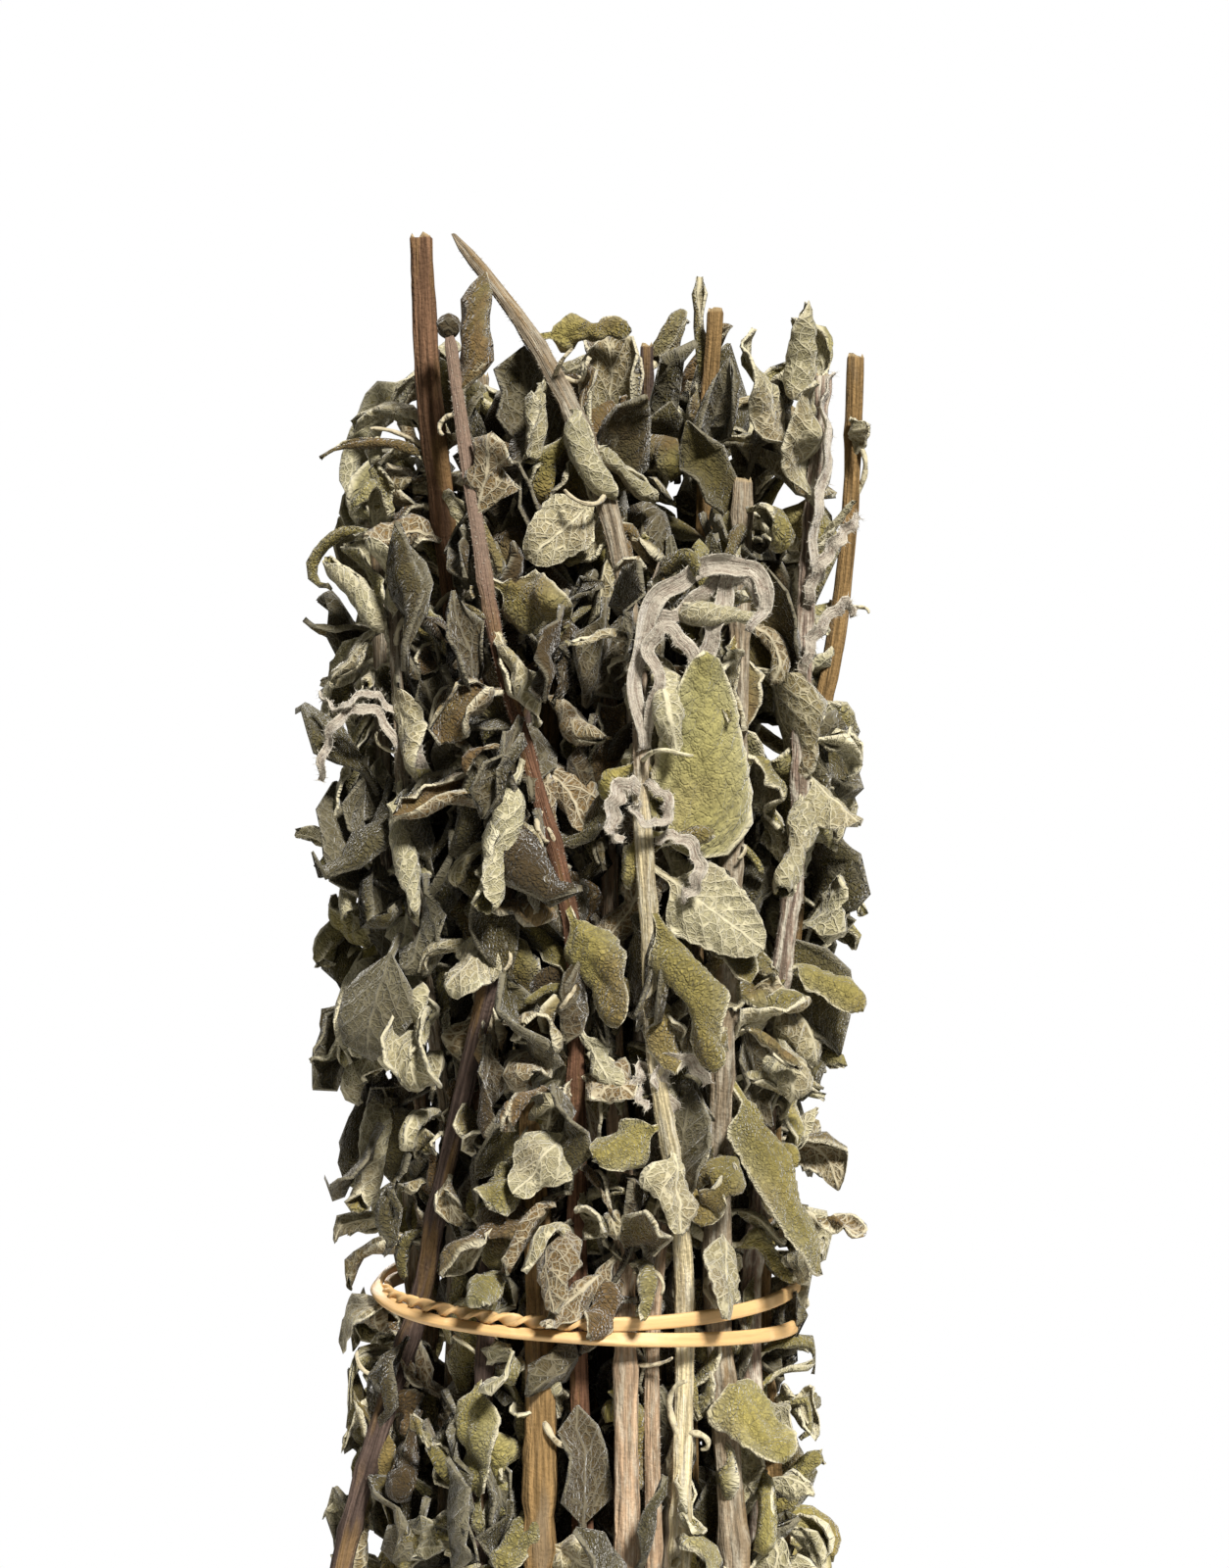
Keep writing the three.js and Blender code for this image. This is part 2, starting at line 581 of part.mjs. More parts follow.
// A leaf rolled up on itself: a slim curved body of three sides, pointed at both ends.
function rolledSolid(leaf) {
  const rows = leafRows(leaf).slice(1, -1);
  const vertices = [leafFrame(leaf, 0).centre];
  for (const u of rows) {
    const { centre, normal, side } = leafFrame(leaf, u);
    const reach = leaf.rolledRadius * Math.sqrt(Math.sin(Math.PI * (0.12 + 0.8 * u)));
    for (let s = 0; s < ROLL_SIDES; s++) {
      const turn = (s / ROLL_SIDES) * 2 * Math.PI;
      const corner = centre.clone().addScaledVector(side, reach * Math.sin(turn));
      vertices.push(corner.addScaledVector(normal, reach * Math.cos(turn)));
    }
  }
  vertices.push(leafFrame(leaf, 1).centre);
  const tip = vertices.length - 1;
  const last = tip - ROLL_SIDES;
  const triangles = [];
  for (let s = 0; s < ROLL_SIDES; s++) {
    const next = (s + 1) % ROLL_SIDES;
    triangles.push([0, 1 + next, 1 + s], [tip, last + s, last + next]);
    for (let row = 1; row < last; row += ROLL_SIDES) {
      const [a, b] = [row + s, row + next];
      triangles.push([a, b, b + ROLL_SIDES], [a, b + ROLL_SIDES, a + ROLL_SIDES]);
    }
  }
  return asManifold(vertices, triangles);
}

const leafSolid = (leaf) => (leaf.rolledRadius ? rolledSolid(leaf) : bladeSolid(leaf));

const leafRadius = (leaf) => leaf.rolledRadius || BLADE_THICKNESS / 2;

// ---- Layout -------------------------------------------------------------------------------------

// Whatever is placed so far, as points with a radius, in cells that make near ones quick to find.
const CELL = 9; // wider than any clearance that is tested
const CELL_ROW = 64; // more cells than there are in a row
const cells = new Map();
const cellKey = (x, y, z) =>
  (Math.floor(x / CELL) * CELL_ROW + Math.floor(y / CELL)) * CELL_ROW + Math.floor(z / CELL);
function fill(point, { radius, stem = null, isStem = false }) {
  const key = cellKey(point.x, point.y, point.z);
  if (!cells.has(key)) cells.set(key, []);
  cells.get(key).push({ point, radius, stem, isStem });
}

// How far out a point is, over what the leaves fill: an oval that the band draws in at its height.
function distanceOut(p) {
  const waist = 1 - WAIST_DEPTH * Math.exp(-(((p.z - BAND_Z) / WAIST_REACH) ** 2));
  return Math.hypot((p.x - BUNCH_CENTRE_X) / BUNCH_HALF_X, p.y / BUNCH_HALF_Y) / waist;
}

// Whether a leaf may lie that near another thing: its own stem and the leaves at its own root are free.
function mayTouch(leaf, stem, point, other) {
  return other.stem === stem && (leaf.placed || other.isStem || point.distanceTo(leaf.root) < ROOT_REACH);
}

// Whether a point of a leaf lies in the space for leaves and away from all that is placed so far.
function isClearAt(p, leaf, stem) {
  if (p.z < LEAF_FLOOR || p.z > LEAF_CEILING || distanceOut(p) > leaf.reachOut) return false;
  const least = leafRadius(leaf) + GAP + SAMPLE_SLACK;
  for (const dx of [-CELL, 0, CELL])
    for (const dy of [-CELL, 0, CELL])
      for (const dz of [-CELL, 0, CELL])
        for (const other of cells.get(cellKey(p.x + dx, p.y + dy, p.z + dz)) ?? [])
          if (p.distanceTo(other.point) < least + other.radius && !mayTouch(leaf, stem, p, other))
            return false;
  return true;
}

const isClear = (samples, leaf, stem) => samples.every((p) => isClearAt(p, leaf, stem));

// The leaf that a draw of numbers gives at a point of a stem. Draped leaves start out and upwards, their
// upper side up, and bend down over the bunch; the others lie along it and face outwards.
function drawLeaf(stem, z, side, size, draw) {
  const root = axisAt(stem, z);
  const outward = new THREE.Vector3(root.x - BUNCH_CENTRE_X, root.y, 0).normalize();
  const up = new THREE.Vector3(0, 0, 1);
  const sideways = up.clone().cross(outward);
  const draped = draw() < DRAPED_SHARE;
  const heading = side * (draped ? between(0.4, 1.4, draw()) : between(0.8, 1.6, draw()));
  const rises = draped || draw() < RISING_SHARE;
  const slope = draped ? between(-0.1, 0.7, draw()) : between(0.9, 1.4, draw());
  const upwards = rises ? slope : -slope;
  const flat = outward.clone().multiplyScalar(Math.cos(heading)).addScaledVector(sideways, Math.sin(heading));
  const along = flat.multiplyScalar(Math.cos(upwards)).addScaledVector(up, Math.sin(upwards));
  const facing = (draped ? up : outward).clone().addScaledVector(sideways, between(-0.6, 0.6, draw()));
  facing.addScaledVector(along, -facing.dot(along)).normalize();
  const length = between(16, 32, draw()) * size;
  return {
    root,
    along,
    facing,
    length,
    halfWidth: length * between(0.24, 0.4, draw()),
    roll: between(0.4, 1.7, draw()),
    bend: draped ? between(-2.3, -1.1, draw()) : between(-1, 0.8, draw()),
    twist: between(-1, 1, draw()),
    wave: between(0.2, 1.4, draw()),
    phase: between(0, 6.28, draw()),
    rolledRadius: draw() < ROLLED_SHARE ? between(2.2, 3.6, draw()) * size : 0,
    reachOut: 1,
  };
}

for (const stem of stems)
  for (let z = stem.base; z <= stem.top; z += STEM_SAMPLE_STEP)
    fill(axisAt(stem, z), { radius: radiusAt(stem, z), stem, isStem: true });
for (let i = 0; i < BAND_SAMPLES; i++) fill(bandPoint(i / BAND_SAMPLES), { radius: BAND_WIDTH / 2 });

function keep(stem, leaf, samples) {
  stem.leaves.push(leaf);
  for (const p of samples) fill(p, { radius: leafRadius(leaf), stem });
}

for (const stem of stems)
  for (const placed of PLACED_LEAVES[stem.name] ?? []) {
    const leaf = placedLeaf(stem, placed);
    const samples = leafSamples(leaf);
    if (!isClear(samples, leaf, stem)) throw new Error("a placed leaf of " + stem.name + " is blocked");
    keep(stem, leaf, samples);
  }

// Keeps the way from a point to the front of the bunch free of drawn leaves.
function keepSight({ x, y, z }) {
  for (let forward = SIGHT_STEP; forward < SIGHT_REACH; forward += SIGHT_STEP) {
    const p = new THREE.Vector3(x, y - forward, z);
    if (distanceOut(p) < SIGHT_OUT) fill(p, { radius: SIGHT_RADIUS });
  }
}
for (const [name, low, high] of BARE_STRETCHES) {
  const bare = stems.find((stem) => stem.name === name);
  for (let z = low; z < high; z += SAMPLE_STEP) keepSight(axisAt(bare, z));
}
for (const stem of stems) for (const leaf of stem.leaves) leafSamples(leaf).forEach(keepSight);

// The first clear leaf of a growing point, each draw a little smaller than the last.
function growLeaf(stem, z, side, seed) {
  const draw = randomSource(seed);
  for (let t = 0; t < TRIES; t++) {
    const leaf = drawLeaf(stem, z, side, stem.leafSize * between(1, SMALLEST_LEAF, t / TRIES), draw);
    const samples = leafSamples(leaf);
    if (!isClear(samples, leaf, stem)) continue;
    keep(stem, leaf, samples);
    return;
  }
}

// Leaf pairs up every stem, one level of all the stems after another.
for (let level = 0; level < LEVELS; level++)
  stems.forEach((stem, i) => {
    const jitter = LEVEL_JITTER * randomSource(9000 + 50 * i + level)();
    const z = stem.leafFrom + (level + jitter) * stem.pitch;
    if (z > stem.leafTo) return;
    for (const side of [-1, 1]) growLeaf(stem, z, side, 1 + side + 10 * level + 1000 * i);
  });

// ---- Assembly -----------------------------------------------------------------------------------

// The outer skin of a fused solid, which fills a hollow that the fusing sealed.
const largestBody = (solid) => solid.decompose().sort((a, b) => b.volume() - a.volume())[0];

function asMesh(solid, name, material) {
  const { vertProperties, triVerts } = solid.getMesh();
  const geometry = new THREE.BufferGeometry()
    .setAttribute("position", new THREE.BufferAttribute(vertProperties, 3))
    .setIndex(new THREE.BufferAttribute(triVerts, 1));
  geometry.computeVertexNormals();
  const mesh = new THREE.Mesh(geometry, material);
  mesh.name = name;
  return mesh;
}

const TONE_COLOURS = { grey: 0x96967f, olive: 0x7b7850, brown: 0x7d6850 };
const sageMaterial = (tone) =>
  new THREE.MeshStandardMaterial({ color: TONE_COLOURS[tone], roughness: 0.95, metalness: 0 });
const bandMaterial = new THREE.MeshStandardMaterial({ color: 0xd9ac72, roughness: 0.5, metalness: 0 });

const bunch = new THREE.Group();
for (const stem of stems) {
  const fused = stem.leaves.reduce((whole, leaf) => whole.add(leafSolid(leaf)), stemSolid(stem));
  bunch.add(asMesh(largestBody(fused), stem.name, sageMaterial(stem.tone)));
}
bunch.add(asMesh(bandSolid(), "rubber_band", bandMaterial));

export default bunch;
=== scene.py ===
import functools
import math

import bpy
import numpy as np
from bpy.props import FloatProperty, FloatVectorProperty, IntProperty, PointerProperty
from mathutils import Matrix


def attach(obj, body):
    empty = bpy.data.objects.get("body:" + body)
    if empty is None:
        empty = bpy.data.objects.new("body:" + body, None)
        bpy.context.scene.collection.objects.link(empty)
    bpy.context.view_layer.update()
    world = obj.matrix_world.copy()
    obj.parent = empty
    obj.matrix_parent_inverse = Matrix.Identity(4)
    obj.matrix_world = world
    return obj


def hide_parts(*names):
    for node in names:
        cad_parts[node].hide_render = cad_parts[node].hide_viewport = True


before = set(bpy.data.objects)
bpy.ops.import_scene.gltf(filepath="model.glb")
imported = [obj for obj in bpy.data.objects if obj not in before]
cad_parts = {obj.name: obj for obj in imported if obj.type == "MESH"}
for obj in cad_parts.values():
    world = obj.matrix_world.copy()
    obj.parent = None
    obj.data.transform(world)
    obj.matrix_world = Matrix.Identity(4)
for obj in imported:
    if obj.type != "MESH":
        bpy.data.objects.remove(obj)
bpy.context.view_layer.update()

bl_info = {
    "name": "Dried sage bunch",
    "version": (1, 0, 0),
    "blender": (4, 5, 0),
    "location": "3D View > Sidebar > Sage bunch",
    "description": "Leafy stems of dried sage, tied in a bunch with one rubber band",
    "category": "Add Mesh",
}

# The lengths in this file are in millimetres, with +Z up and the front of the bunch facing -Y. They are
# turned into metres where a mesh is made.
MM = 0.001

# ---- Layout: the stems and leaves of the solids, worked out again by the same rule --------------

BAND_Z = 92.5
BAND_CENTRE_X = 2
BAND_HALF_X = 35  # half axes of the band's centreline
BAND_HALF_Y = 31.5
BAND_TILT = -1.2  # how far the band drops from its middle to its right side
BAND_SAG = 1.8  # how far it drops from its middle to the front
BAND_SPREAD = 2.6  # the two turns lie this far above and below their mean on the right
BAND_LAP = 1.35  # and this far outside and inside their mean on the left, where they cross
BAND_WIDTH = 2.5

BLADE_RADIUS = 0.35  # half the thickness of a solid blade
PETIOLE_HALF_WIDTH = 0.75
STEM_STRETCHES = 2  # stretches of stem between two points of its route
RING_STRETCHES = 1
TIP_SHARE = 0.62  # radius at the top of a stem over that at its base

LEAF_FLOOR = 3
LEAF_CEILING = 262
BUNCH_CENTRE_X = 1
BUNCH_HALF_X = 46  # half axes of what the leaves fill
BUNCH_HALF_Y = 43
GAP = 0.3
SAMPLE_SLACK = 0.85
SAMPLE_STEP = 2
ACROSS_STEP = 2.5
STEM_SAMPLE_STEP = 1.5
BAND_SAMPLES = 128
ROOT_REACH = 6
WAIST_DEPTH = 0.1
WAIST_REACH = 45
TRIES = 32
SMALLEST_LEAF = 0.52
LEVELS = 20
LEVEL_JITTER = 0.35
ROLLED_SHARE = 0.45
DRAPED_SHARE = 0.5
RISING_SHARE = 0.35
LARGE_LEAF = 24
WIDEST_ROLL = 3.6  # no rolled leaf has a larger radius
OUTLINE_U = [0, 0.16, 0.36, 0.72, 1]
OUTLINE_WIDTH = [0, 0, 1, 0.84, 0]
WAVE_TURNS = 7

# Name, tone, radius at the base, first and last height that carries leaves, spacing of the leaf pairs,
# size of the leaves, and route from the cut end upwards.
PLACED_STEMS = [
    ("stem_tall_cut", "brown", 2.6, 196, 236, 21, 0.8, [
        (-16.5, 0, 0), (-16.3, -0.5, 50), (-16, -1, 91), (-16.5, -3, 140), (-18.5, -5.5, 180),
        (-21.6, -8.5, 215), (-25, -9, 243), (-26.4, -9, 269.5),
    ]),
    ("stem_pointed", "brown", 2.1, 196, 250, 21, 0.9, [
        (14, -13, 0), (13, -14, 50), (12, -15, 91), (10.5, -18, 140), (9.6, -21, 178),
        (8.4, -22, 206), (2.4, -19.5, 231), (-7.2, -16, 251.3), (-20.8, -12, 269.8),
    ]),
    ("stem_red", "brown", 1.9, 104, 250, 21, 1, [
        (1, -22, 0), (0.8, -23, 50), (0, -24, 91), (-0.3, -26.5, 125), (-1, -28, 155),
        (-7.2, -28.5, 180), (-13.1, -27, 201), (-17.5, -23.5, 227), (-21.3, -19, 253),
    ]),
    ("stem_pale_front", "grey", 2, 14, 214, 21, 1, [
        (16, -28, 0), (16.4, -27.5, 50), (17.4, -23.2, 91), (16, -27.8, 112),
        (12.5, -32.5, 134), (11.5, -35, 155), (10.2, -35, 178), (10.4, -33, 202),
        (13, -32, 214),
    ]),
    ("stem_right_front", "grey", 2.2, 10, 246, 21, 1, [
        (29, -12, 0), (29.5, -12, 50), (28.3, -11.5, 91), (30, -13, 110), (32.5, -15.5, 140),
        (35.8, -18, 168), (36.8, -18, 194.5), (37.8, -17, 215), (40.5, -13.5, 246),
    ]),
    ("stem_dark_diagonal", "brown", 2.3, 40, 198, 21, 0.9, [
        (-45, -13, 0), (-42, -13.5, 30), (-38, -11, 55), (-27, -7.6, 91), (-23.5, -13.5, 108),
        (-18.5, -22, 129), (-12.8, -26, 154), (-9.5, -22, 176), (-8, -17, 198),
    ]),
    ("stem_thick", "olive", 2.9, 22, 222, 21, 0.95, [
        (-7, -27, 0), (-6.4, -27, 50), (-6.2, -24.8, 91), (-7.5, -22, 125), (-7.2, -18, 155),
        (-5, -12, 190), (-5.5, -9, 222),
    ]),
    ("stem_pink", "olive", 2.3, 16, 218, 21, 0.9, [
        (8, -30, 0), (8, -29.5, 50), (7.6, -26.3, 91), (7, -24, 115), (5.5, -21, 140),
        (5, -17.5, 165), (5, -14.5, 192), (6, -12.5, 218),
    ]),
    ("stem_thin_pale", "grey", 1.6, 100, 215, 22, 0.95, [
        (12, -25, 0), (12.2, -25.8, 50), (12.2, -24, 91), (15.5, -20.5, 120),
        (18.5, -21.5, 150), (20.5, -22, 178), (21.5, -15.5, 215),
    ]),
    ("stem_grey_thick", "olive", 2.7, 12, 228, 21, 1, [
        (27, -22, 0), (25.6, -22.5, 50), (22.8, -19.3, 91), (22.8, -21, 112), (23.5, -24, 135),
        (24.5, -25, 160), (26, -23, 190), (27, -17, 228),
    ]),
    ("stem_right_low", "olive", 2.1, 8, 205, 21, 0.95, [
        (35, -3, 0), (33.5, -4, 50), (30.5, -2.5, 91), (32.5, -3, 120), (36, -4, 155),
        (38, -5, 205),
    ]),
    ("stem_right_splayed", "grey", 2.4, 14, 240, 21, 0.9, [
        (30, 8, 0), (29, 8, 50), (27.6, 7.5, 91), (31, 8, 140), (38, 8.5, 175), (44, 8.5, 204),
        (46.5, 8, 228), (47.2, 7, 251.5),
    ]),
    ("stem_ochre_cut", "olive", 2.1, 190, 240, 21, 0.85, [
        (19, 0, 0), (18.5, -1, 50), (18, -1, 91), (19.5, -2, 150), (20.6, -3, 200),
        (21.3, -4, 234), (22.9, -4, 257.7),
    ]),
    ("stem_left_edge", "grey", 1.9, 10, 222, 21, 1, [
        (-33, 2, 0), (-31, 1, 50), (-28, -0.5, 91), (-30, -3, 130), (-32.5, -5, 170),
        (-34, -6, 222),
    ]),
    ("stem_left_pale", "grey", 1.7, 96, 212, 21, 1.05, [
        (-24, -7, 0), (-22.5, -6.5, 50), (-21, -5.5, 91), (-21.5, -8.5, 118), (-25, -16, 145),
        (-28.5, -19, 175), (-30.5, -17.5, 212),
    ]),
    ("stem_left_front", "olive", 1.9, 12, 216, 21, 1, [
        (-17, -24, 0), (-16.5, -23.5, 50), (-15, -21.5, 91), (-13.5, -17.5, 118),
        (-16, -14, 150), (-17, -12, 190), (-15, -10, 216),
    ]),
]

PLACED_LEAVES = {
    "stem_pale_front": [
        dict(z=171, tip=(17, -4, 23), half_width=9, roll=0.5, bend=0.5, twist=0.25, wave=1),
        dict(z=166, tip=(19, 2, -14), half_width=8.5, roll=0.25, bend=-0.3, twist=0.1, wave=0.8),
        dict(z=206, tip=(18, -3, -1), rolled=2.4, bend=-1.3),
        dict(z=204, tip=(5, -7, -21), half_width=4.2, roll=1.6, bend=-0.6, twist=0.6, wave=0.6),
        dict(z=160, tip=(11, -4, -27), half_width=6, roll=1.3, bend=-0.7, twist=0.6, wave=1),
        dict(z=124, tip=(-12, -5, -5), half_width=5, roll=1.1, bend=-0.6, twist=0.5, wave=1),
        dict(z=120, tip=(3, -8, -13), half_width=4.6, roll=1.2, bend=-0.6, twist=-0.6, wave=1),
    ],
    "stem_grey_thick": [
        dict(z=132, tip=(17, -3, -33), half_width=4.4, roll=0.9, bend=-0.4, twist=-0.4, wave=0.4),
        dict(z=106, tip=(1, -13, -13), half_width=4.4, roll=0.6, bend=-0.7, twist=0, wave=0.3),
        dict(z=82, tip=(10, -7, -13), half_width=6.4, roll=0.6, bend=-0.3, twist=0.3, wave=0.8),
    ],
    "stem_left_pale": [
        dict(z=181, tip=(4, -6, -24), rolled=3.4, bend=-0.7),
        dict(z=206, tip=(11, -3, -6), half_width=4.2, roll=0.4, bend=0.4, twist=0, wave=0.3),
        dict(z=204, tip=(-3, -3, 15), half_width=4, roll=0.9, bend=0.3, twist=0.3, wave=0.5),
        dict(z=200, tip=(-11, -1, 16), rolled=2.8, bend=0.3),
        dict(z=198, tip=(4, -6, -22), half_width=5, roll=1.5, bend=-0.5, twist=1.1, wave=1),
    ],
    "stem_left_edge": [
        dict(z=176, tip=(-5, -8, -20), rolled=3, bend=-0.6),
        dict(z=156, tip=(-9, -7, -24), rolled=3.2, bend=-0.4),
        dict(z=131, tip=(-5, -8, -24), rolled=3, bend=-0.5),
        dict(z=190, tip=(-8, -4, -18), half_width=5, roll=1.2, bend=-0.6, twist=0.5, wave=0.7),
    ],
    "stem_pointed": [
        dict(z=243, tip=(8, -5, -18), rolled=3.4, bend=-0.6),
        dict(z=247, tip=(-3, -5, -16), rolled=2.7, bend=-0.5),
        dict(z=236, tip=(12, 2, -11), rolled=2.2, bend=-0.7),
        dict(z=226, tip=(-12, -5, -11), half_width=6.5, roll=0.5, bend=-0.9, twist=0.2, wave=0.5),
        dict(z=252, tip=(16, 3, 2), half_width=4.5, roll=1.4, bend=-0.9, twist=0.4, wave=0.8),
    ],
    "stem_right_front": [
        dict(z=236, tip=(-1, -1, 22), half_width=5, roll=1.6, bend=0.3, twist=0.2, wave=0.3),
        dict(z=222, tip=(1, -6, 22), half_width=5.5, roll=1.5, bend=0.4, twist=-0.2, wave=0.3),
        dict(z=229, tip=(-12, -2, 24), half_width=4.5, roll=1.2, bend=0.3, twist=0.3, wave=0.5),
        dict(z=214, tip=(8, -4, 10), rolled=1.3, bend=0.7),
        dict(z=178, tip=(-4, -10, -17), rolled=3, bend=-0.8),
        dict(z=180, tip=(7, -4, -10), half_width=5, roll=1.4, bend=-1, twist=0.5, wave=0.6),
        dict(z=147, tip=(12, -4, -6), half_width=4.6, roll=1, bend=-2.2, twist=0.3, wave=0.4),
    ],
    "stem_right_splayed": [
        dict(z=238, tip=(2, -8, 1), half_width=3.4, roll=0.6, bend=0.5, twist=0.3, wave=0.2),
    ],
    "stem_left_front": [
        dict(z=84, tip=(-3, -7, -21), half_width=5.2, roll=1, bend=-0.4, twist=0.3, wave=0.8),
    ],
    "stem_thick": [
        dict(z=64, tip=(-6, -5, -12), half_width=5, roll=0.7, bend=-0.4, twist=0.4, wave=0.8),
        dict(z=56, tip=(11, -6, -4), half_width=4.6, roll=1, bend=-0.5, twist=0.3, wave=0.6),
        dict(z=118, tip=(-7, -9, -8), half_width=5, roll=1, bend=-0.6, twist=-0.4, wave=1),
    ],
    "stem_red": [
        dict(z=124, tip=(-10, -8, -11), half_width=6, roll=1, bend=-0.7, twist=0.4, wave=1.2),
        dict(z=184, tip=(-6, -7, -26), rolled=3, bend=-0.5),
        dict(z=160, tip=(9, -6, -20), half_width=5, roll=1.3, bend=-0.7, twist=0.7, wave=1),
        dict(z=205, tip=(8, -5, -17), rolled=3, bend=-0.4),
        dict(z=212, tip=(14, -3, -7), half_width=6, roll=0.8, bend=-0.4, twist=0.4, wave=1),
    ],
    "stem_dark_diagonal": [
        dict(z=154, tip=(-8, -6, -9), half_width=5.4, roll=1.5, bend=-1.4, twist=0.5, wave=1),
    ],
}

# Name, count, first angle, step between angles, distance out, first height with leaves, spacing, size.
STEM_RINGS = [
    ("stem_back", 8, 36, 18, 30, 10, 24, 1.05),
    ("stem_middle", 4, 28, 40, 17.5, 175, 24, 0.9),
    ("stem_heart", 3, 60, 120, 6, 190, 25, 0.85),
]
RING_TONES = ("grey", "olive", "brown")
RING_DEPTH = 0.9
RING_HEIGHTS = [0, 48, BAND_Z, 135, 180, 225]
RING_SPREADS = [1.04, 1, 0.93, 1, 1.08, 1.14]
RING_WOBBLE = 1.1
RING_TOP_LOW = 198
RING_TOP_HIGH = 258
UP = np.array([0.0, 0.0, 1.0])


def random_source(seed):
    """Numbers from 0 to 1 that are the same for the same seed: a counter whose bits are mixed."""
    mask = 0xFFFFFFFF
    state = seed & mask

    def draw():
        nonlocal state
        state = (state + 0x6D2B79F5) & mask
        t = state
        t = ((t ^ (t >> 15)) * (t | 1)) & mask
        t ^= (t + (((t ^ (t >> 7)) * (t | 61)) & mask)) & mask
        return ((t ^ (t >> 14)) & mask) / 4294967296

    return draw


def between(low, high, share):
    return low + (high - low) * share


def unit(vectors):
    return vectors / np.linalg.norm(vectors, axis=-1, keepdims=True)


def smooth_route(route, stretches):
    """Points of a curve through the route's points: between two of them a cubic whose slope at each is
    half the way from the point before it to the point after it."""
    points = np.array(route, float)
    padded = np.vstack([2 * points[0] - points[1], points, 2 * points[-1] - points[-2]])
    spans = len(points) - 1
    share = np.arange(stretches * spans + 1) / stretches
    index = np.minimum(share.astype(int), spans - 1)
    t = (share - index)[:, None]
    x0, x1, x2, x3 = (padded[index + k] for k in range(4))
    t0, t1 = 0.5 * (x2 - x0), 0.5 * (x3 - x1)
    return x1 + t0 * t + (-3 * x1 + 3 * x2 - 2 * t0 - t1) * t**2 + (2 * x1 - 2 * x2 + t0 + t1) * t**3


class Stem:
    """A stem's route, and the leaves that grow from it."""

    def __init__(self, name, tone, radius, leaf_from, leaf_to, pitch, leaf_size, route, stretches):
        self.name, self.tone, self.radius, self.route = name, tone, radius, route
        self.leaf_from, self.leaf_to = leaf_from, leaf_to
        self.pitch, self.leaf_size = pitch, leaf_size
        self.points = smooth_route(route, stretches)
        self.top = route[-1][2]
        self.leaves = []

    def axis_at(self, z):
        """The point of the axis at a height, straight between two points of the route."""
        x, y, heights = self.points.T
        return np.stack([np.interp(z, heights, x), np.interp(z, heights, y), z], axis=-1)

    def radius_at(self, z):
        return self.radius * between(1, TIP_SHARE, z / self.top)


def ring_stems(ring, first_seed):
    """Stems at even angles of an oval that the band draws in at its height."""
    name, count, start, step, distance, leaf_from, pitch, size = ring
    stems = []
    for i in range(count):
        draw = random_source(first_seed + i)
        angle = math.radians(start + i * step + between(-2, 2, draw()))
        top = between(RING_TOP_LOW, RING_TOP_HIGH, draw())
        route = []
        for z, spread in zip(RING_HEIGHTS[:-1] + [top], RING_SPREADS):
            x = BUNCH_CENTRE_X + distance * spread * math.cos(angle)
            x += between(-RING_WOBBLE, RING_WOBBLE, draw())
            y = distance * spread * RING_DEPTH * math.sin(angle)
            y += between(-RING_WOBBLE, RING_WOBBLE, draw())
            route.append((x, y, z))
        tone = RING_TONES[i % len(RING_TONES)]
        stems.append(Stem(f"{name}_{i + 1}", tone, between(1.7, 2.5, draw()), leaf_from, top, pitch, size,
                          route, RING_STRETCHES))
    return stems


def band_point(share):
    """The band's centreline: one loop that goes round an oval twice, its height and its distance out
    each a sum of sines of the turn and of half the turn."""
    turn = np.asarray(share) * 4 * math.pi
    lap = 1 + (BAND_LAP / BAND_HALF_X) * np.sin(turn / 2)
    rise = BAND_SPREAD * np.cos(turn / 2) + BAND_TILT * np.cos(turn) + BAND_SAG * np.sin(turn)
    return np.stack([BAND_CENTRE_X + BAND_HALF_X * lap * np.cos(turn), BAND_HALF_Y * lap * np.sin(turn),
                     BAND_Z + rise], axis=-1)


def leaf_frame(leaf, u):
    """Middle, upward normal and sideways direction of a leaf at shares u of its length: an arc that
    bends by `bend`, turned about itself by `twist`."""
    angle = (leaf["bend"] * u)[:, None]
    radius = leaf["length"] / leaf["bend"]
    along, facing = leaf["along"], leaf["facing"]
    centre = leaf["root"] + along * (radius * np.sin(angle)) + facing * (radius * (1 - np.cos(angle)))
    tangent = along * np.cos(angle) + facing * np.sin(angle)
    normal = facing * np.cos(angle) - along * np.sin(angle)
    turn = (leaf["twist"] * u)[:, None]
    normal = normal * np.cos(turn) + np.cross(tangent, normal) * np.sin(turn)
    return centre, normal, np.cross(tangent, normal)


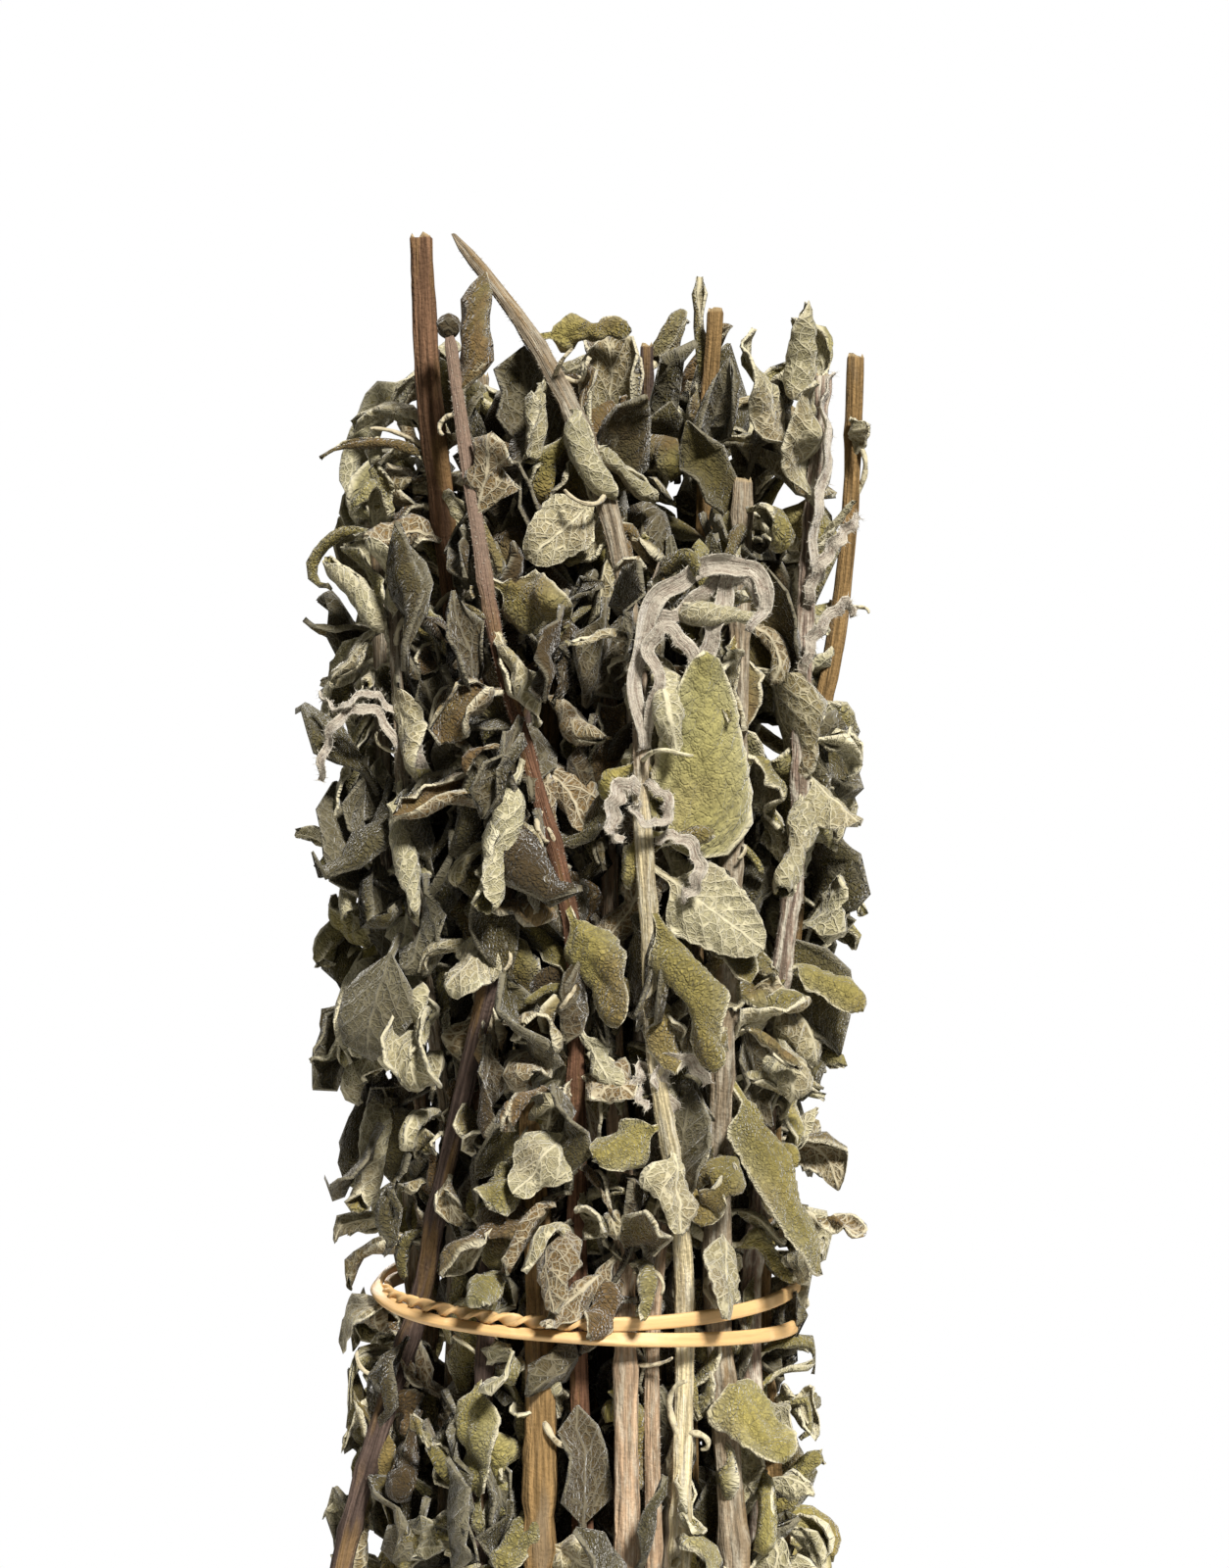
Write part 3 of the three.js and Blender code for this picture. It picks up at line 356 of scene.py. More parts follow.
def leaf_knots(leaf):
    """Corners of a leaf's facets, rows along it and three across, or one across a rolled one: each half
    is an arc that rolls down by `roll`, on top of a wave along the edges."""
    rolled, large = leaf["rolled_radius"] > 0, leaf["length"] > LARGE_LEAF
    rows = {(True, True): [0, 0.22, 0.5, 0.82, 1], (True, False): [0, 0.28, 0.75, 1],
            (False, True): [0, 0.36, 0.72, 1], (False, False): [0, 0.5, 1]}[rolled, large]
    u = np.array(rows, float)
    centre, normal, side = leaf_frame(leaf, u)
    if rolled:
        return u, centre[:, None]
    width = np.interp(u, OUTLINE_U, OUTLINE_WIDTH)
    half = np.where(u < 1, np.maximum(PETIOLE_HALF_WIDTH, leaf["half_width"] * width), 0)
    v = np.array([-1.0, 0.0, 1.0])
    turn = leaf["roll"] * width[:, None] * v
    safe = np.where(np.abs(turn) > 1e-12, turn, 1)
    across = half[:, None] * v * np.where(turn == 0, 1, np.sin(safe) / safe)
    drop = half[:, None] * v * np.where(turn == 0, 0, (1 - np.cos(safe)) / safe)
    wave = leaf["wave"] * v * (np.cos(WAVE_TURNS * u + leaf["phase"]) * width)[:, None]
    lifted = (wave - drop)[..., None] * normal[:, None]
    return u, centre[:, None] + across[..., None] * side[:, None] + lifted


def leaf_samples(leaf):
    """Points all over a leaf's facets, or along the middle of a rolled one, apart from its root."""
    rows, knots = leaf_knots(leaf)
    lines = []
    for k in range(1, len(rows)):
        steps = math.ceil((rows[k] - rows[k - 1]) * leaf["length"] / SAMPLE_STEP)
        share = (np.arange(1, steps + 1) / steps)[:, None, None]
        lines.append(knots[k - 1] + (knots[k] - knots[k - 1]) * share)
    line = np.concatenate(lines)
    if line.shape[1] == 1:
        return line[:, 0]
    across = math.ceil(leaf["half_width"] / ACROSS_STEP)
    share = (np.arange(1, across + 1) / across)[:, None]
    halves = [line[:, k, None] + (line[:, k + 1] - line[:, k])[:, None] * share for k in (0, 1)]
    return np.concatenate([line[:, 0]] + [half.reshape(-1, 3) for half in halves])


def distance_out(points):
    """How far out points are, over what the leaves fill: an oval that narrows at the band's height."""
    x, y, z = points.T
    waist = 1 - WAIST_DEPTH * np.exp(-(((z - BAND_Z) / WAIST_REACH) ** 2))
    return np.hypot((x - BUNCH_CENTRE_X) / BUNCH_HALF_X, y / BUNCH_HALF_Y) / waist


class Space:
    """Whatever is placed so far, as points with a radius, the index of their stem, and whether they are
    the stem's own wood."""

    def __init__(self):
        self.points = np.zeros((90000, 3))
        self.radii = np.zeros(90000)
        self.owners = np.zeros(90000, int)
        self.wood = np.zeros(90000, bool)
        self.count = 0

    def fill(self, points, radii, owner, is_wood=False):
        span = slice(self.count, self.count + len(points))
        self.points[span], self.radii[span] = points, radii
        self.owners[span], self.wood[span] = owner, is_wood
        self.count += len(points)

    def is_clear(self, samples, leaf, owner, spare):
        """Whether a leaf's points lie in the space for leaves, and each further from all that is placed
        than both radii and `spare`. Its own stem, and the leaves near its own root, may be nearer."""
        if samples[:, 2].min() < LEAF_FLOOR or samples[:, 2].max() > LEAF_CEILING:
            return False
        if distance_out(samples).max() > leaf["reach_out"]:
            return False
        least = (leaf["rolled_radius"] or BLADE_RADIUS) + spare
        margin = least + WIDEST_ROLL
        placed = self.points[: self.count]
        near = np.all((placed > samples.min(0) - margin) & (placed < samples.max(0) + margin), axis=1)
        near = np.flatnonzero(near)
        gaps = np.linalg.norm(samples[:, None] - placed[near], axis=2)
        close = gaps < least + self.radii[near]
        own = self.owners[near] == owner
        at_root = np.linalg.norm(samples - leaf["root"], axis=1) < ROOT_REACH
        free = own & (self.wood[near] | leaf["placed"])
        return not (close & ~free & ~(at_root[:, None] & own)).any()


def placed_leaf(stem, z, tip, bend, half_width=0.0, rolled=0.0, roll=0.0, twist=0.0, wave=0.0):
    """A leaf whose arc ends at `tip`, measured from where it leaves the stem."""
    root = stem.axis_at(z)
    chord = np.array(tip, float)
    reach = np.linalg.norm(chord)
    chord /= reach
    facing = unit(np.array([root[0] - BUNCH_CENTRE_X, root[1], 0.0]))
    facing = unit(facing - chord * facing.dot(chord))
    half = bend / 2
    return {
        "root": root,
        "along": chord * math.cos(half) - facing * math.sin(half),
        "facing": facing * math.cos(half) + chord * math.sin(half),
        "length": reach * half / math.sin(half), "half_width": half_width, "roll": roll, "bend": bend,
        "twist": twist, "wave": wave, "phase": z, "rolled_radius": rolled, "placed": True, "reach_out": 1.3,
    }


def drawn_leaf(stem, z, side, size, draw):
    """The leaf that a draw of numbers gives at a point of a stem. Draped leaves start out and upwards
    and bend down over the bunch; the others lie along it and face outwards."""
    root = stem.axis_at(z)
    outward = unit(np.array([root[0] - BUNCH_CENTRE_X, root[1], 0.0]))
    sideways = np.cross(UP, outward)
    draped = draw() < DRAPED_SHARE
    heading = side * (between(0.4, 1.4, draw()) if draped else between(0.8, 1.6, draw()))
    rises = draped or draw() < RISING_SHARE
    slope = between(-0.1, 0.7, draw()) if draped else between(0.9, 1.4, draw())
    slope = slope if rises else -slope
    flat = outward * math.cos(heading) + sideways * math.sin(heading)
    along = flat * math.cos(slope) + UP * math.sin(slope)
    facing = (UP if draped else outward) + sideways * between(-0.6, 0.6, draw())
    facing = unit(facing - along * facing.dot(along))
    length = between(16, 32, draw()) * size
    return {
        "root": root, "along": along, "facing": facing, "length": length,
        "half_width": length * between(0.24, 0.4, draw()),
        "roll": between(0.4, 1.7, draw()),
        "bend": between(-2.3, -1.1, draw()) if draped else between(-1, 0.8, draw()),
        "twist": between(-1, 1, draw()),
        "wave": between(0.2, 1.4, draw()),
        "phase": between(0, 6.28, draw()),
        "rolled_radius": between(2.2, 3.6, draw()) * size if draw() < ROLLED_SHARE else 0.0,
        "placed": False, "reach_out": 1.0,
    }


# Stretches of stem that are bare to the front: the stem, and the lowest and the highest point.
BARE_STRETCHES = [
    ("stem_tall_cut", 212, 262), ("stem_pointed", 204, 262), ("stem_red", 150, 250),
    ("stem_pale_front", 76, 206), ("stem_right_front", 150, 240), ("stem_dark_diagonal", 46, 152),
    ("stem_right_splayed", 190, 248), ("stem_thick", 46, 92), ("stem_pink", 46, 88),
    ("stem_thin_pale", 46, 90), ("stem_grey_thick", 46, 80), ("stem_ochre_cut", 222, 256),
]
SIGHT_STEP = 3
SIGHT_REACH = 50
SIGHT_RADIUS = 1.6
SIGHT_OUT = 1.2


def keep_sight(space, points):
    """Keeps the ways from points to the front of the bunch free of drawn leaves."""
    forward = np.arange(SIGHT_STEP, SIGHT_REACH, SIGHT_STEP)[:, None, None]
    ahead = (points - forward * [0, 1, 0]).reshape(-1, 3)
    space.fill(ahead[distance_out(ahead) < SIGHT_OUT], SIGHT_RADIUS, -1)


def grow_leaf(space, stem, owner, z, side, seed):
    """The first clear leaf of a growing point, each draw a little smaller than the last."""
    draw = random_source(seed)
    for t in range(TRIES):
        leaf = drawn_leaf(stem, z, side, stem.leaf_size * between(1, SMALLEST_LEAF, t / TRIES), draw)
        samples = leaf_samples(leaf)
        if space.is_clear(samples, leaf, owner, GAP + SAMPLE_SLACK):
            stem.leaves.append(leaf)
            space.fill(samples, leaf["rolled_radius"] or BLADE_RADIUS, owner)
            return


@functools.lru_cache(maxsize=None)
def bunch():
    """The stems with their leaves, and the space that they take."""
    stems = [Stem(*row, STEM_STRETCHES) for row in PLACED_STEMS]
    for i, ring in enumerate(STEM_RINGS):
        stems += ring_stems(ring, 500 + 100 * i)
    space = Space()
    for owner, stem in enumerate(stems):
        heights = np.arange(math.floor(stem.top / STEM_SAMPLE_STEP) + 1) * STEM_SAMPLE_STEP
        space.fill(stem.axis_at(heights), stem.radius_at(heights), owner, is_wood=True)
    space.fill(band_point(np.arange(BAND_SAMPLES) / BAND_SAMPLES), BAND_WIDTH / 2, -1)
    for owner, stem in enumerate(stems):
        for row in PLACED_LEAVES.get(stem.name, ()):
            leaf = placed_leaf(stem, **row)
            stem.leaves.append(leaf)
            space.fill(leaf_samples(leaf), leaf["rolled_radius"] or BLADE_RADIUS, owner)
    by_name = {stem.name: stem for stem in stems}
    for name, low, high in BARE_STRETCHES:
        keep_sight(space, by_name[name].axis_at(np.arange(low, high, SAMPLE_STEP, float)))
    for stem in stems:
        for leaf in stem.leaves:
            keep_sight(space, leaf_samples(leaf))
    for level in range(LEVELS):
        for owner, stem in enumerate(stems):
            jitter = LEVEL_JITTER * random_source(9000 + 50 * owner + level)()
            z = stem.leaf_from + (level + jitter) * stem.pitch
            if z <= stem.leaf_to:
                for side in (-1, 1):
                    grow_leaf(space, stem, owner, z, side, 1 + side + 10 * level + 1000 * owner)
    return stems, space

# ---- Meshes -------------------------------------------------------------------------------------


def linear(code):
    """A colour code as the shader reads it: each channel taken from the screen's curve to light."""
    channels = [int(code[k:k + 2], 16) / 255 for k in (0, 2, 4)]
    return tuple(c / 12.92 if c <= 0.04045 else ((c + 0.055) / 1.055) ** 2.4 for c in channels)


def smooth(low, high, x):
    """A step from 0 to 1 between low and high, level at both ends: 3t^2 - 2t^3."""
    t = np.clip((x - low) / (high - low), 0, 1)
    return t * t * (3 - 2 * t)


class Shape:
    """Surfaces gathered for one mesh: points, faces, and for each point its place on the surface in
    millimetres and four numbers that the materials read."""

    def __init__(self):
        self.points, self.places, self.marks, self.faces = [], [], [], []
        self.count = 0

    def add(self, points, faces, places, marks):
        points = points.reshape(-1, 3)
        self.points.append(points)
        self.places.append(np.broadcast_to(places, (len(points), 2)))
        self.marks.append(np.broadcast_to(marks, (len(points), 4)))
        self.faces += [face + self.count for face in faces]
        self.count += len(points)

    def finish(self, name, material, slot, nodes):
        """Puts the gathered surfaces into the scene as one piece that stands for the nodes."""
        mesh = bpy.data.meshes.new(name)
        points = np.concatenate(self.points) * MM
        sizes = np.concatenate([np.full(len(face), face.shape[1]) for face in self.faces])
        loops = np.concatenate([face.ravel() for face in self.faces])
        mesh.vertices.add(len(points))
        mesh.vertices.foreach_set("co", points.ravel())
        mesh.loops.add(len(loops))
        mesh.loops.foreach_set("vertex_index", loops)
        mesh.polygons.add(len(sizes))
        mesh.polygons.foreach_set("loop_start", np.concatenate([[0], np.cumsum(sizes)[:-1]]))
        mesh.update(calc_edges=True)
        mesh.uv_layers.new(name="place").data.foreach_set("uv", np.concatenate(self.places)[loops].ravel())
        marks = mesh.color_attributes.new("marks", "FLOAT_COLOR", "POINT")
        marks.data.foreach_set("color", np.concatenate(self.marks).ravel())
        mesh.shade_smooth()
        mesh.validate()
        piece = bpy.data.objects.new(name, mesh)
        bpy.context.scene.collection.objects.link(piece)
        mesh.materials.append(material)
        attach(piece, "root")
        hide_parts(*nodes)
        return piece


def tube_faces(rings, sides, is_loop=False):
    """Four-sided faces between rings of points that run anticlockwise seen against the tube's way, and
    one face over each end unless it is a loop."""
    starts = np.arange(rings if is_loop else rings - 1)[:, None] * sides
    s = np.arange(sides)[None]
    n = (s + 1) % sides
    total = rings * sides
    quads = np.stack([starts + s, starts + n, (starts + n + sides) % total, (starts + s + sides) % total], -1)
    faces = [quads.reshape(-1, 4)]
    if not is_loop:
        faces += [np.arange(sides)[None, ::-1], (np.arange(sides) + total - sides)[None]]
    return faces


# ---- Leaves -------------------------------------------------------------------------------------

# For each placed leaf, whether its woolly underside shows, its shade from faded brown to pale, how
# freely it curls up, from flat at 0 to 1, and what is its own: how its midrib swerves within the blade
# from the first angle to the second, its length and width over the solid's, where its blade starts and is
# broadest, how blunt its tip is, and whether it is soft and smooth.
PLACED_LOOKS = {
    "stem_pale_front": [(0, 0.95, 0.1, dict(swerve=(1.3, -0.62), longer=1.28, wider=1.22, stalk=0.06,
                                            broadest=0.3, blunt=0.85, soft=1)),
                        (1, 1.0, 0.05), (1, 0.95, 0.3), (1, 0.9, 0.3), (0, 0.7, 0.5),
                        (0, 0.8, 0.5), (1, 0.85, 0.5)],
    "stem_grey_thick": [(0, 0.75, 0.2, dict(wider=1.3, broadest=0.26, blunt=5)), (1, 0.65, 0.3), (0, 0.95, 0.3)],
    "stem_left_pale": [(1, 0.8, 0.3), (0, 0.95, 0.3), (1, 0.9, 0.3), (1, 1.0, 0.3), (1, 0.6, 0.5)],
    "stem_left_edge": [(1, 0.9, 0.3), (1, 0.95, 0.3), (1, 0.9, 0.3), (1, 0.7, 0.4)],
    "stem_pointed": [(1, 0.8, 0.3), (1, 0.55, 0.3), (1, 0.6, 0.4), (1, 0.9, 0.1), (0, 0.85, 0.5)],
    "stem_right_front": [(1, 0.75, 0.3), (1, 0.7, 0.3), (1, 0.65, 0.4), (1, 0.8, 0.3), (1, 0.7, 0.3),
                         (1, 0.6, 0.4), (0, 0.8, 0.3)],
    "stem_right_splayed": [(0, 0.6, 0.4)],
    "stem_left_front": [(0, 0.95, 0.4)],
    "stem_thick": [(0, 0.6, 0.4), (1, 0.3, 0.5), (0, 0.6, 0.5)],
    "stem_red": [(1, 0.95, 0.6), (1, 0.85, 0.3), (0, 0.7, 0.4), (1, 0.5, 0.3), (0, 0.45, 0.4)],
    "stem_dark_diagonal": [(1, 1.0, 0.6)],
}
# Leaves that the solids don't have, in the same form, with their look as the last entry.
ADDED_LEAVES = {
    "stem_pink": [dict(z=103, tip=(-14, -10, -11), half_width=4.4, roll=1.3, bend=-0.7, twist=0.8, wave=1.4,
                       look=(1, 0.0, 0.9)),
                  dict(z=99, tip=(-6, -10, -9), half_width=3.4, roll=1.2, bend=-0.5, twist=-0.6, wave=1.2,
                       look=(0, 0.0, 0.9))],
    "stem_right_front": [dict(z=104, tip=(18, -5, 3), half_width=3, roll=1.2, bend=-0.4, twist=1.2, wave=0.8,
                              look=(0, 0.1, 0.8))],
    "stem_thin_pale": [dict(z=118, tip=(6, -10, -10), half_width=4, roll=0.8, bend=-0.8, twist=0.4, wave=1,
                            look=(0, 0.95, 0.6))],
    "stem_left_edge": [dict(z=140, tip=(-13, -5, -9), half_width=4.6, roll=1.3, bend=-0.9, twist=0.4, wave=1,
                            look=(1, 0.8, 0.6)),
                       dict(z=150, tip=(-13, 2, 9), half_width=4.2, roll=1.2, bend=-0.8, twist=-0.5, wave=1,
                            look=(0, 0.7, 0.7)),
                       dict(z=166, tip=(-14, -3, 6), half_width=4.4, roll=1.3, bend=-1.2, twist=0.6, wave=1,
                            look=(1, 0.6, 0.8)),
                       dict(z=180, tip=(-12, 2, -12), half_width=4.4, roll=1.5, bend=-0.7, twist=-0.6, wave=1,
                            look=(0, 0.5, 0.7)),
                       dict(z=200, tip=(-11, -3, -13), half_width=4.2, roll=1.3, bend=-0.9, twist=0.5, wave=1,
                            look=(1, 0.9, 0.6))],
    "stem_left_pale": [dict(z=150, tip=(2, -10, -17), half_width=4.5, roll=1.3, bend=-0.7, twist=0.9, wave=1,
                            look=(1, 0.8, 1.0, dict(wider=0.7)))],
    "stem_red": [dict(z=172, tip=(-12, -5, -8), half_width=4.4, roll=1.4, bend=-1.2, twist=0.5, wave=1,
                      look=(1, 0.35, 0.6)),
                 dict(z=140, tip=(7, -6, -12), half_width=4, roll=1.4, bend=-0.9, twist=0.5, wave=1,
                      look=(1, 1.0, 0.8))],
}
SHELL_THICKNESS = 0.42
VEIN_SPACING = 3.3
VEIN_SLANT = 1.2  # how far a side vein runs towards the tip for each millimetre outwards
STRETCH = 1.12  # length of a grown leaf over that of its solid, before it is crumpled


def column(leaves, key):
    values = np.array([leaf[key] for leaf in leaves], float)
    return values[:, None, :] if values.ndim == 2 else values[:, None]


def trait(leaves, key, usual):
    """What is each leaf's own, or else the usual value."""
    own = [leaf["look"][3] if len(leaf.get("look", ())) > 3 else {} for leaf in leaves]
    return np.array([traits.get(key, usual[k] if np.ndim(usual) else usual) for k, traits in enumerate(own)],
                    float)


def midribs(leaves, rows, draw):
    """Middle line, upward normal and sideways direction of each leaf: the arc of its solid, with a hook
    near the tip, sometimes a fold across it, and a twist that comes and goes. Directions are summed up
    along the leaf, so its length stays what it is."""
    u = np.linspace(0, 1, rows + 1)
    n = len(leaves)
    along, facing = column(leaves, "along"), column(leaves, "facing")
    hook = draw.uniform(-1.6, 1.2, (n, 1))
    fold = draw.uniform(-1.3, 1.3, (n, 1)) * (draw.random((n, 1)) < 0.3)
    fold_at = draw.uniform(0.4, 0.65, (n, 1))
    calm = column(leaves, "calm")

    def angle(share):
        bent = hook * smooth(0.6, 1, share) + fold * smooth(0, 0.14, share - fold_at)
        return column(leaves, "bend") * share + calm * bent

    swerve = np.array([leaf["look"][3].get("swerve", (0, 0)) if len(leaf.get("look", ())) > 3 else (0, 0)
                       for leaf in leaves], float)
    sideways = np.cross(along, facing)

    def way(share):
        turn = angle(share)[..., None]
        swing = (swerve[:, :1] + (swerve[:, 1:] - swerve[:, :1]) * smooth(0, 0.4, share))[..., None]
        return (along * np.cos(turn) + facing * np.sin(turn)) * np.cos(swing) + sideways * np.sin(swing)

    length = column(leaves, "length") * np.where(column(leaves, "placed") > 0, 1, STRETCH)
    length = length * trait(leaves, "longer", 1)[:, None]
    steps = way((u[1:] + u[:-1]) / 2) * (length / rows)[..., None]
    centre = column(leaves, "root") + np.concatenate([np.zeros((n, 1, 3)), np.cumsum(steps, axis=1)], axis=1)
    turn = angle(u)[..., None]
    tangent = way(u)
    normal = facing * np.cos(turn) - along * np.sin(turn)
    sway = calm * draw.uniform(0, 0.45, (n, 1)) * np.sin(5 * u + draw.uniform(0, 6.3, (n, 1)))
    turn = (column(leaves, "twist") * u + sway)[..., None]
    normal = normal * np.cos(turn) + np.cross(tangent, normal) * np.sin(turn)
    return u, centre, normal, np.cross(tangent, normal)


def widths(leaves, u, draw):
    """Half width over its greatest along each leaf: a stalk, a quick swell, then a slow narrowing to
    the tip; a rolled one keeps part of its width at the tip."""
    n = len(leaves)
    rolled = column(leaves, "rolled_radius") > 0
    shoulder = trait(leaves, "broadest", draw.uniform(0.34, 0.46, n))[:, None]
    stalk = trait(leaves, "stalk", draw.uniform(0.08, 0.2, n))[:, None]
    end = np.where(rolled, draw.uniform(0.9, 1, (n, 1)), 1)
    blunt = trait(leaves, "blunt", draw.uniform(1.6, 2.6, n))[:, None]
    narrowing = np.sqrt(1 - end * np.clip((u - 0.2) / 0.8, 0, 1) ** blunt)
    return smooth(0, 1, (u - stalk) / (shoulder - stalk)) * narrowing


def leaf_shells(leaves, rows, columns, tone, draw, crinkle, dark_tone_and_painted_shade=0.0):
    """Closed shells of leaves, all on grids of the same size. Across a leaf the surface turns by an
    angle that grows from the midrib to the edge: in proportion for a gentle roll, faster near the edge
    for a curled rim, and by the width over the radius for a leaf rolled into a tube. On top lie a wave
    along the edges, plane waves in three directions that crumple it, a dip along the midrib and ridges
    along the side veins. Where the band ties the bunch, what stands out too far is pressed in."""
    n = len(leaves)
    looks = [leaf.get("look", (0, 0, 1)) for leaf in leaves]
    for leaf, look in zip(leaves, looks):
        leaf["calm"] = look[2]
    u, centre, normal, side = midribs(leaves, rows, draw)
    v = np.sin(np.linspace(-1, 1, columns + 1) * math.pi / 2 * 0.9) / math.sin(math.pi / 2 * 0.9)
    width = widths(leaves, u, draw)[..., None]
    length = column(leaves, "length")[..., None]
    radius = column(leaves, "rolled_radius")[..., None]
    rolled = radius > 0
    calm = column(leaves, "calm")[..., None]

    def number(low, high):
        return draw.uniform(low, high, (n, 1, 1))

    greatest = np.where(rolled, radius * number(2.3, 3.4),
                        column(leaves, "half_width")[..., None] * number(0.85, 1.2))
    stalk = 0.55 - 0.3 * u[None, :, None]
    half = np.maximum(greatest * width * trait(leaves, "wider", 1)[:, None, None], stalk)
    u3 = u[None, :, None]
    scallop = 1 + 0.03 * np.sin(2 * math.pi * u3 * length / 2.3 + number(0, 6.3)) * width
    half = half * scallop

    placed = column(leaves, "placed")[..., None] > 0
    habit = np.where(placed, 0.5, draw.random((n, 1, 1)))
    firmness = np.where(habit < 0.3, -1.1, np.where(habit > 0.8, 0.8, np.where(placed, 1, 1.6)))
    ruffle = np.where(habit > 0.8, 2.4, 1.2)
    middle = ((v[1:] + v[:-1]) / 2)[None, None]
    side_roll = np.where(middle < 0, number(0.6, 1.3), number(0.6, 1.3))
    curl = number(0.8, 4.2) * (draw.random((n, 1, 1)) < 0.75) * calm
    crease = number(-0.2, 1.1) * (draw.random((n, 1, 1)) < 0.4) * calm
    open_turn = column(leaves, "roll")[..., None] * middle + 0.7 * curl * middle * np.abs(middle) ** 3
    open_turn = firmness * width * side_roll * (open_turn + crease * np.tanh(middle / 0.1))
    tube_radius = radius * np.sqrt(np.clip(width, 0.02, 1)) * number(0.75, 0.95)
    tube_turn = middle * (1 + number(0.05, 0.35) * np.abs(middle)) * half / np.where(rolled, tube_radius, 1)
    tube_turn *= smooth(0.1, 0.45, width)
    turn = np.where(rolled, tube_turn, open_turn)
    step = half * np.diff(v)
    zero = np.zeros((n, len(u), 1))
    across = np.concatenate([zero, np.cumsum(np.cos(turn) * step, axis=2)], axis=2)
    drop = np.concatenate([zero, np.cumsum(-np.sin(turn) * step, axis=2)], axis=2)
    across -= across[:, :, columns // 2, None]
    drop -= drop[:, :, columns // 2, None]
    drop += np.where(rolled, tube_radius * smooth(0.1, 0.6, width), 0)
    drop *= np.where(rolled, number(0.55, 0.95), 1)
    spin = np.where(rolled, number(-math.pi, math.pi), 0) * smooth(0, 0.4, u3)
    across, drop = across * np.cos(spin) - drop * np.sin(spin), across * np.sin(spin) + drop * np.cos(spin)

    v = v[None, None]
    wave = column(leaves, "wave")[..., None] * v * np.cos(WAVE_TURNS * u3 + column(leaves, "phase")[..., None])
    lift = np.where(rolled, 0.3, 1) * wave * width
    surface = (centre[:, :, None] + across[..., None] * side[:, :, None]
               + (drop + lift)[..., None] * normal[:, :, None])

    x, y = np.broadcast_to(u3 * length, half.shape), half * v
    x = np.broadcast_to(x, y.shape)
    rough = np.zeros_like(y)
    for wavelength, height in ((12, 1.0), (6.5, 0.4), (3.6, 0.13)):
        heading = number(0, math.pi)
        phase = 2 * math.pi / wavelength * (x * np.cos(heading) + y * np.sin(heading)) + number(0, 6.3)
        rough += height * np.sin(phase)
    rough += number(0, 0.5) * np.sin(2 * math.pi * y / number(3.5, 6) + number(0, 6.3) + 0.15 * x)
    rough *= crinkle * number(0.4, 1.3) * np.minimum(1, half / 2.5) * np.where(rolled, 0.5, 1)
    ripple = (ruffle * np.abs(v) ** 2.5 * number(0.2, 1.2)
              * np.sin(2 * math.pi * x / number(4.5, 9) + number(0, 3) * np.sign(v)))
    rough += ripple * np.where(rolled, 0.35, 1) * calm * width
    veins = np.where(rolled, 0.12, 0.2) * np.cos(2 * math.pi * (x - VEIN_SLANT * np.abs(y)) / VEIN_SPACING)
    veins = veins * np.minimum(1, np.abs(y))
    rib = -0.3 * np.exp(-((y / 0.6) ** 2))
    rough += (veins + rib) * width

    def surface_normal(grid):
        return unit(np.cross(np.gradient(grid, axis=2), np.gradient(grid, axis=1)) + 1e-9)

    surface = surface + surface_normal(surface) * rough[..., None]
    out = surface_normal(surface)
    thick = SHELL_THICKNESS * (1 + 0.3 * np.abs(v) ** 8) + 0.5 * (1 - smooth(0, 0.3, width))
    thick = (thick / 2)[..., None]
    layers = np.stack([surface + out * thick, surface - out * thick], axis=1)
    layers[..., 2] = np.where(layers[..., 2] < 1, 1 + 0.14 * (layers[..., 2] - 1), layers[..., 2])
    reach = distance_out(layers.reshape(-1, 3)).reshape(layers.shape[:-1])
    limit = 1.06 - 0.13 * np.exp(-(((layers[..., 2] - 80) / 26) ** 2))
    press = np.where(placed[:, None], 1, np.minimum(1, (limit + 0.25 * (reach - limit)) / reach))
    layers[..., 0] = BUNCH_CENTRE_X + (layers[..., 0] - BUNCH_CENTRE_X) * press
    layers[..., 1] *= press

    rows_at = np.arange(rows)[:, None] * (columns + 1)
    top = np.stack([rows_at + k for k in (np.arange(columns), np.arange(columns) + 1)], -1)
    top = np.concatenate([top, top[..., ::-1] + columns + 1], -1).reshape(-1, 4)
    under = (rows + 1) * (columns + 1)
    i, j = np.arange(rows) * (columns + 1), np.arange(columns)
    next_i, last = i + columns + 1, rows * (columns + 1)
    rims = [
        np.stack([i, next_i, next_i + under, i + under], -1),
        np.stack([next_i + columns, i + columns, i + columns + under, next_i + columns + under], -1),
        np.stack([last + j, last + j + 1, last + j + 1 + under, last + j + under], -1),
        np.stack([j + 1, j, j + under, j + 1 + under], -1),
    ]
    quads = np.concatenate([top, top[:, ::-1] + under] + rims)
    quads = quads[None] + (np.arange(n) * 2 * under)[:, None, None]

    places = np.stack([x + number(0, 400).round(), y], -1)
    places = np.broadcast_to(places[:, None], layers.shape[:-1] + (2,))
    # Leaves low in the bunch are made paler: painted light, as if lit more brightly than those above.
    low = smooth(95, 65, column(leaves, "root")[..., 2:])
    shade = np.clip(tone + number(-0.34, 0.3) + 0.22 * low, 0, 1)
    flipped = draw.random((n, 1)) < 0.45
    for k, look in enumerate(looks):
        if "look" in leaves[k]:
            flipped[k], shade[k] = look[:2]
    under_side = np.stack([flipped, ~flipped], axis=1).astype(float)[..., None]
    ones = np.ones(layers.shape[:-1])
    # The fourth mark: a random darker tone, or painted shade where it is given, as for the leaves inside the
    # bunch.
    dark_tone_and_painted_shade = dark_tone_and_painted_shade or number(0, 0.3)[:, None]
    dark_tone_and_painted_shade = np.where(trait(leaves, "soft", 0)[:, None, None, None] > 0, -1, dark_tone_and_painted_shade)
    marks = np.stack([ones * shade[:, None], ones * under_side, ones * np.abs(v), ones * dark_tone_and_painted_shade], -1)
    return layers, quads.reshape(-1, 4), places.reshape(-1, 2), marks.reshape(-1, 4)


TONES = {"brown": 0.2, "olive": 0.5, "grey": 0.8}


SMALL_TRIES = 6


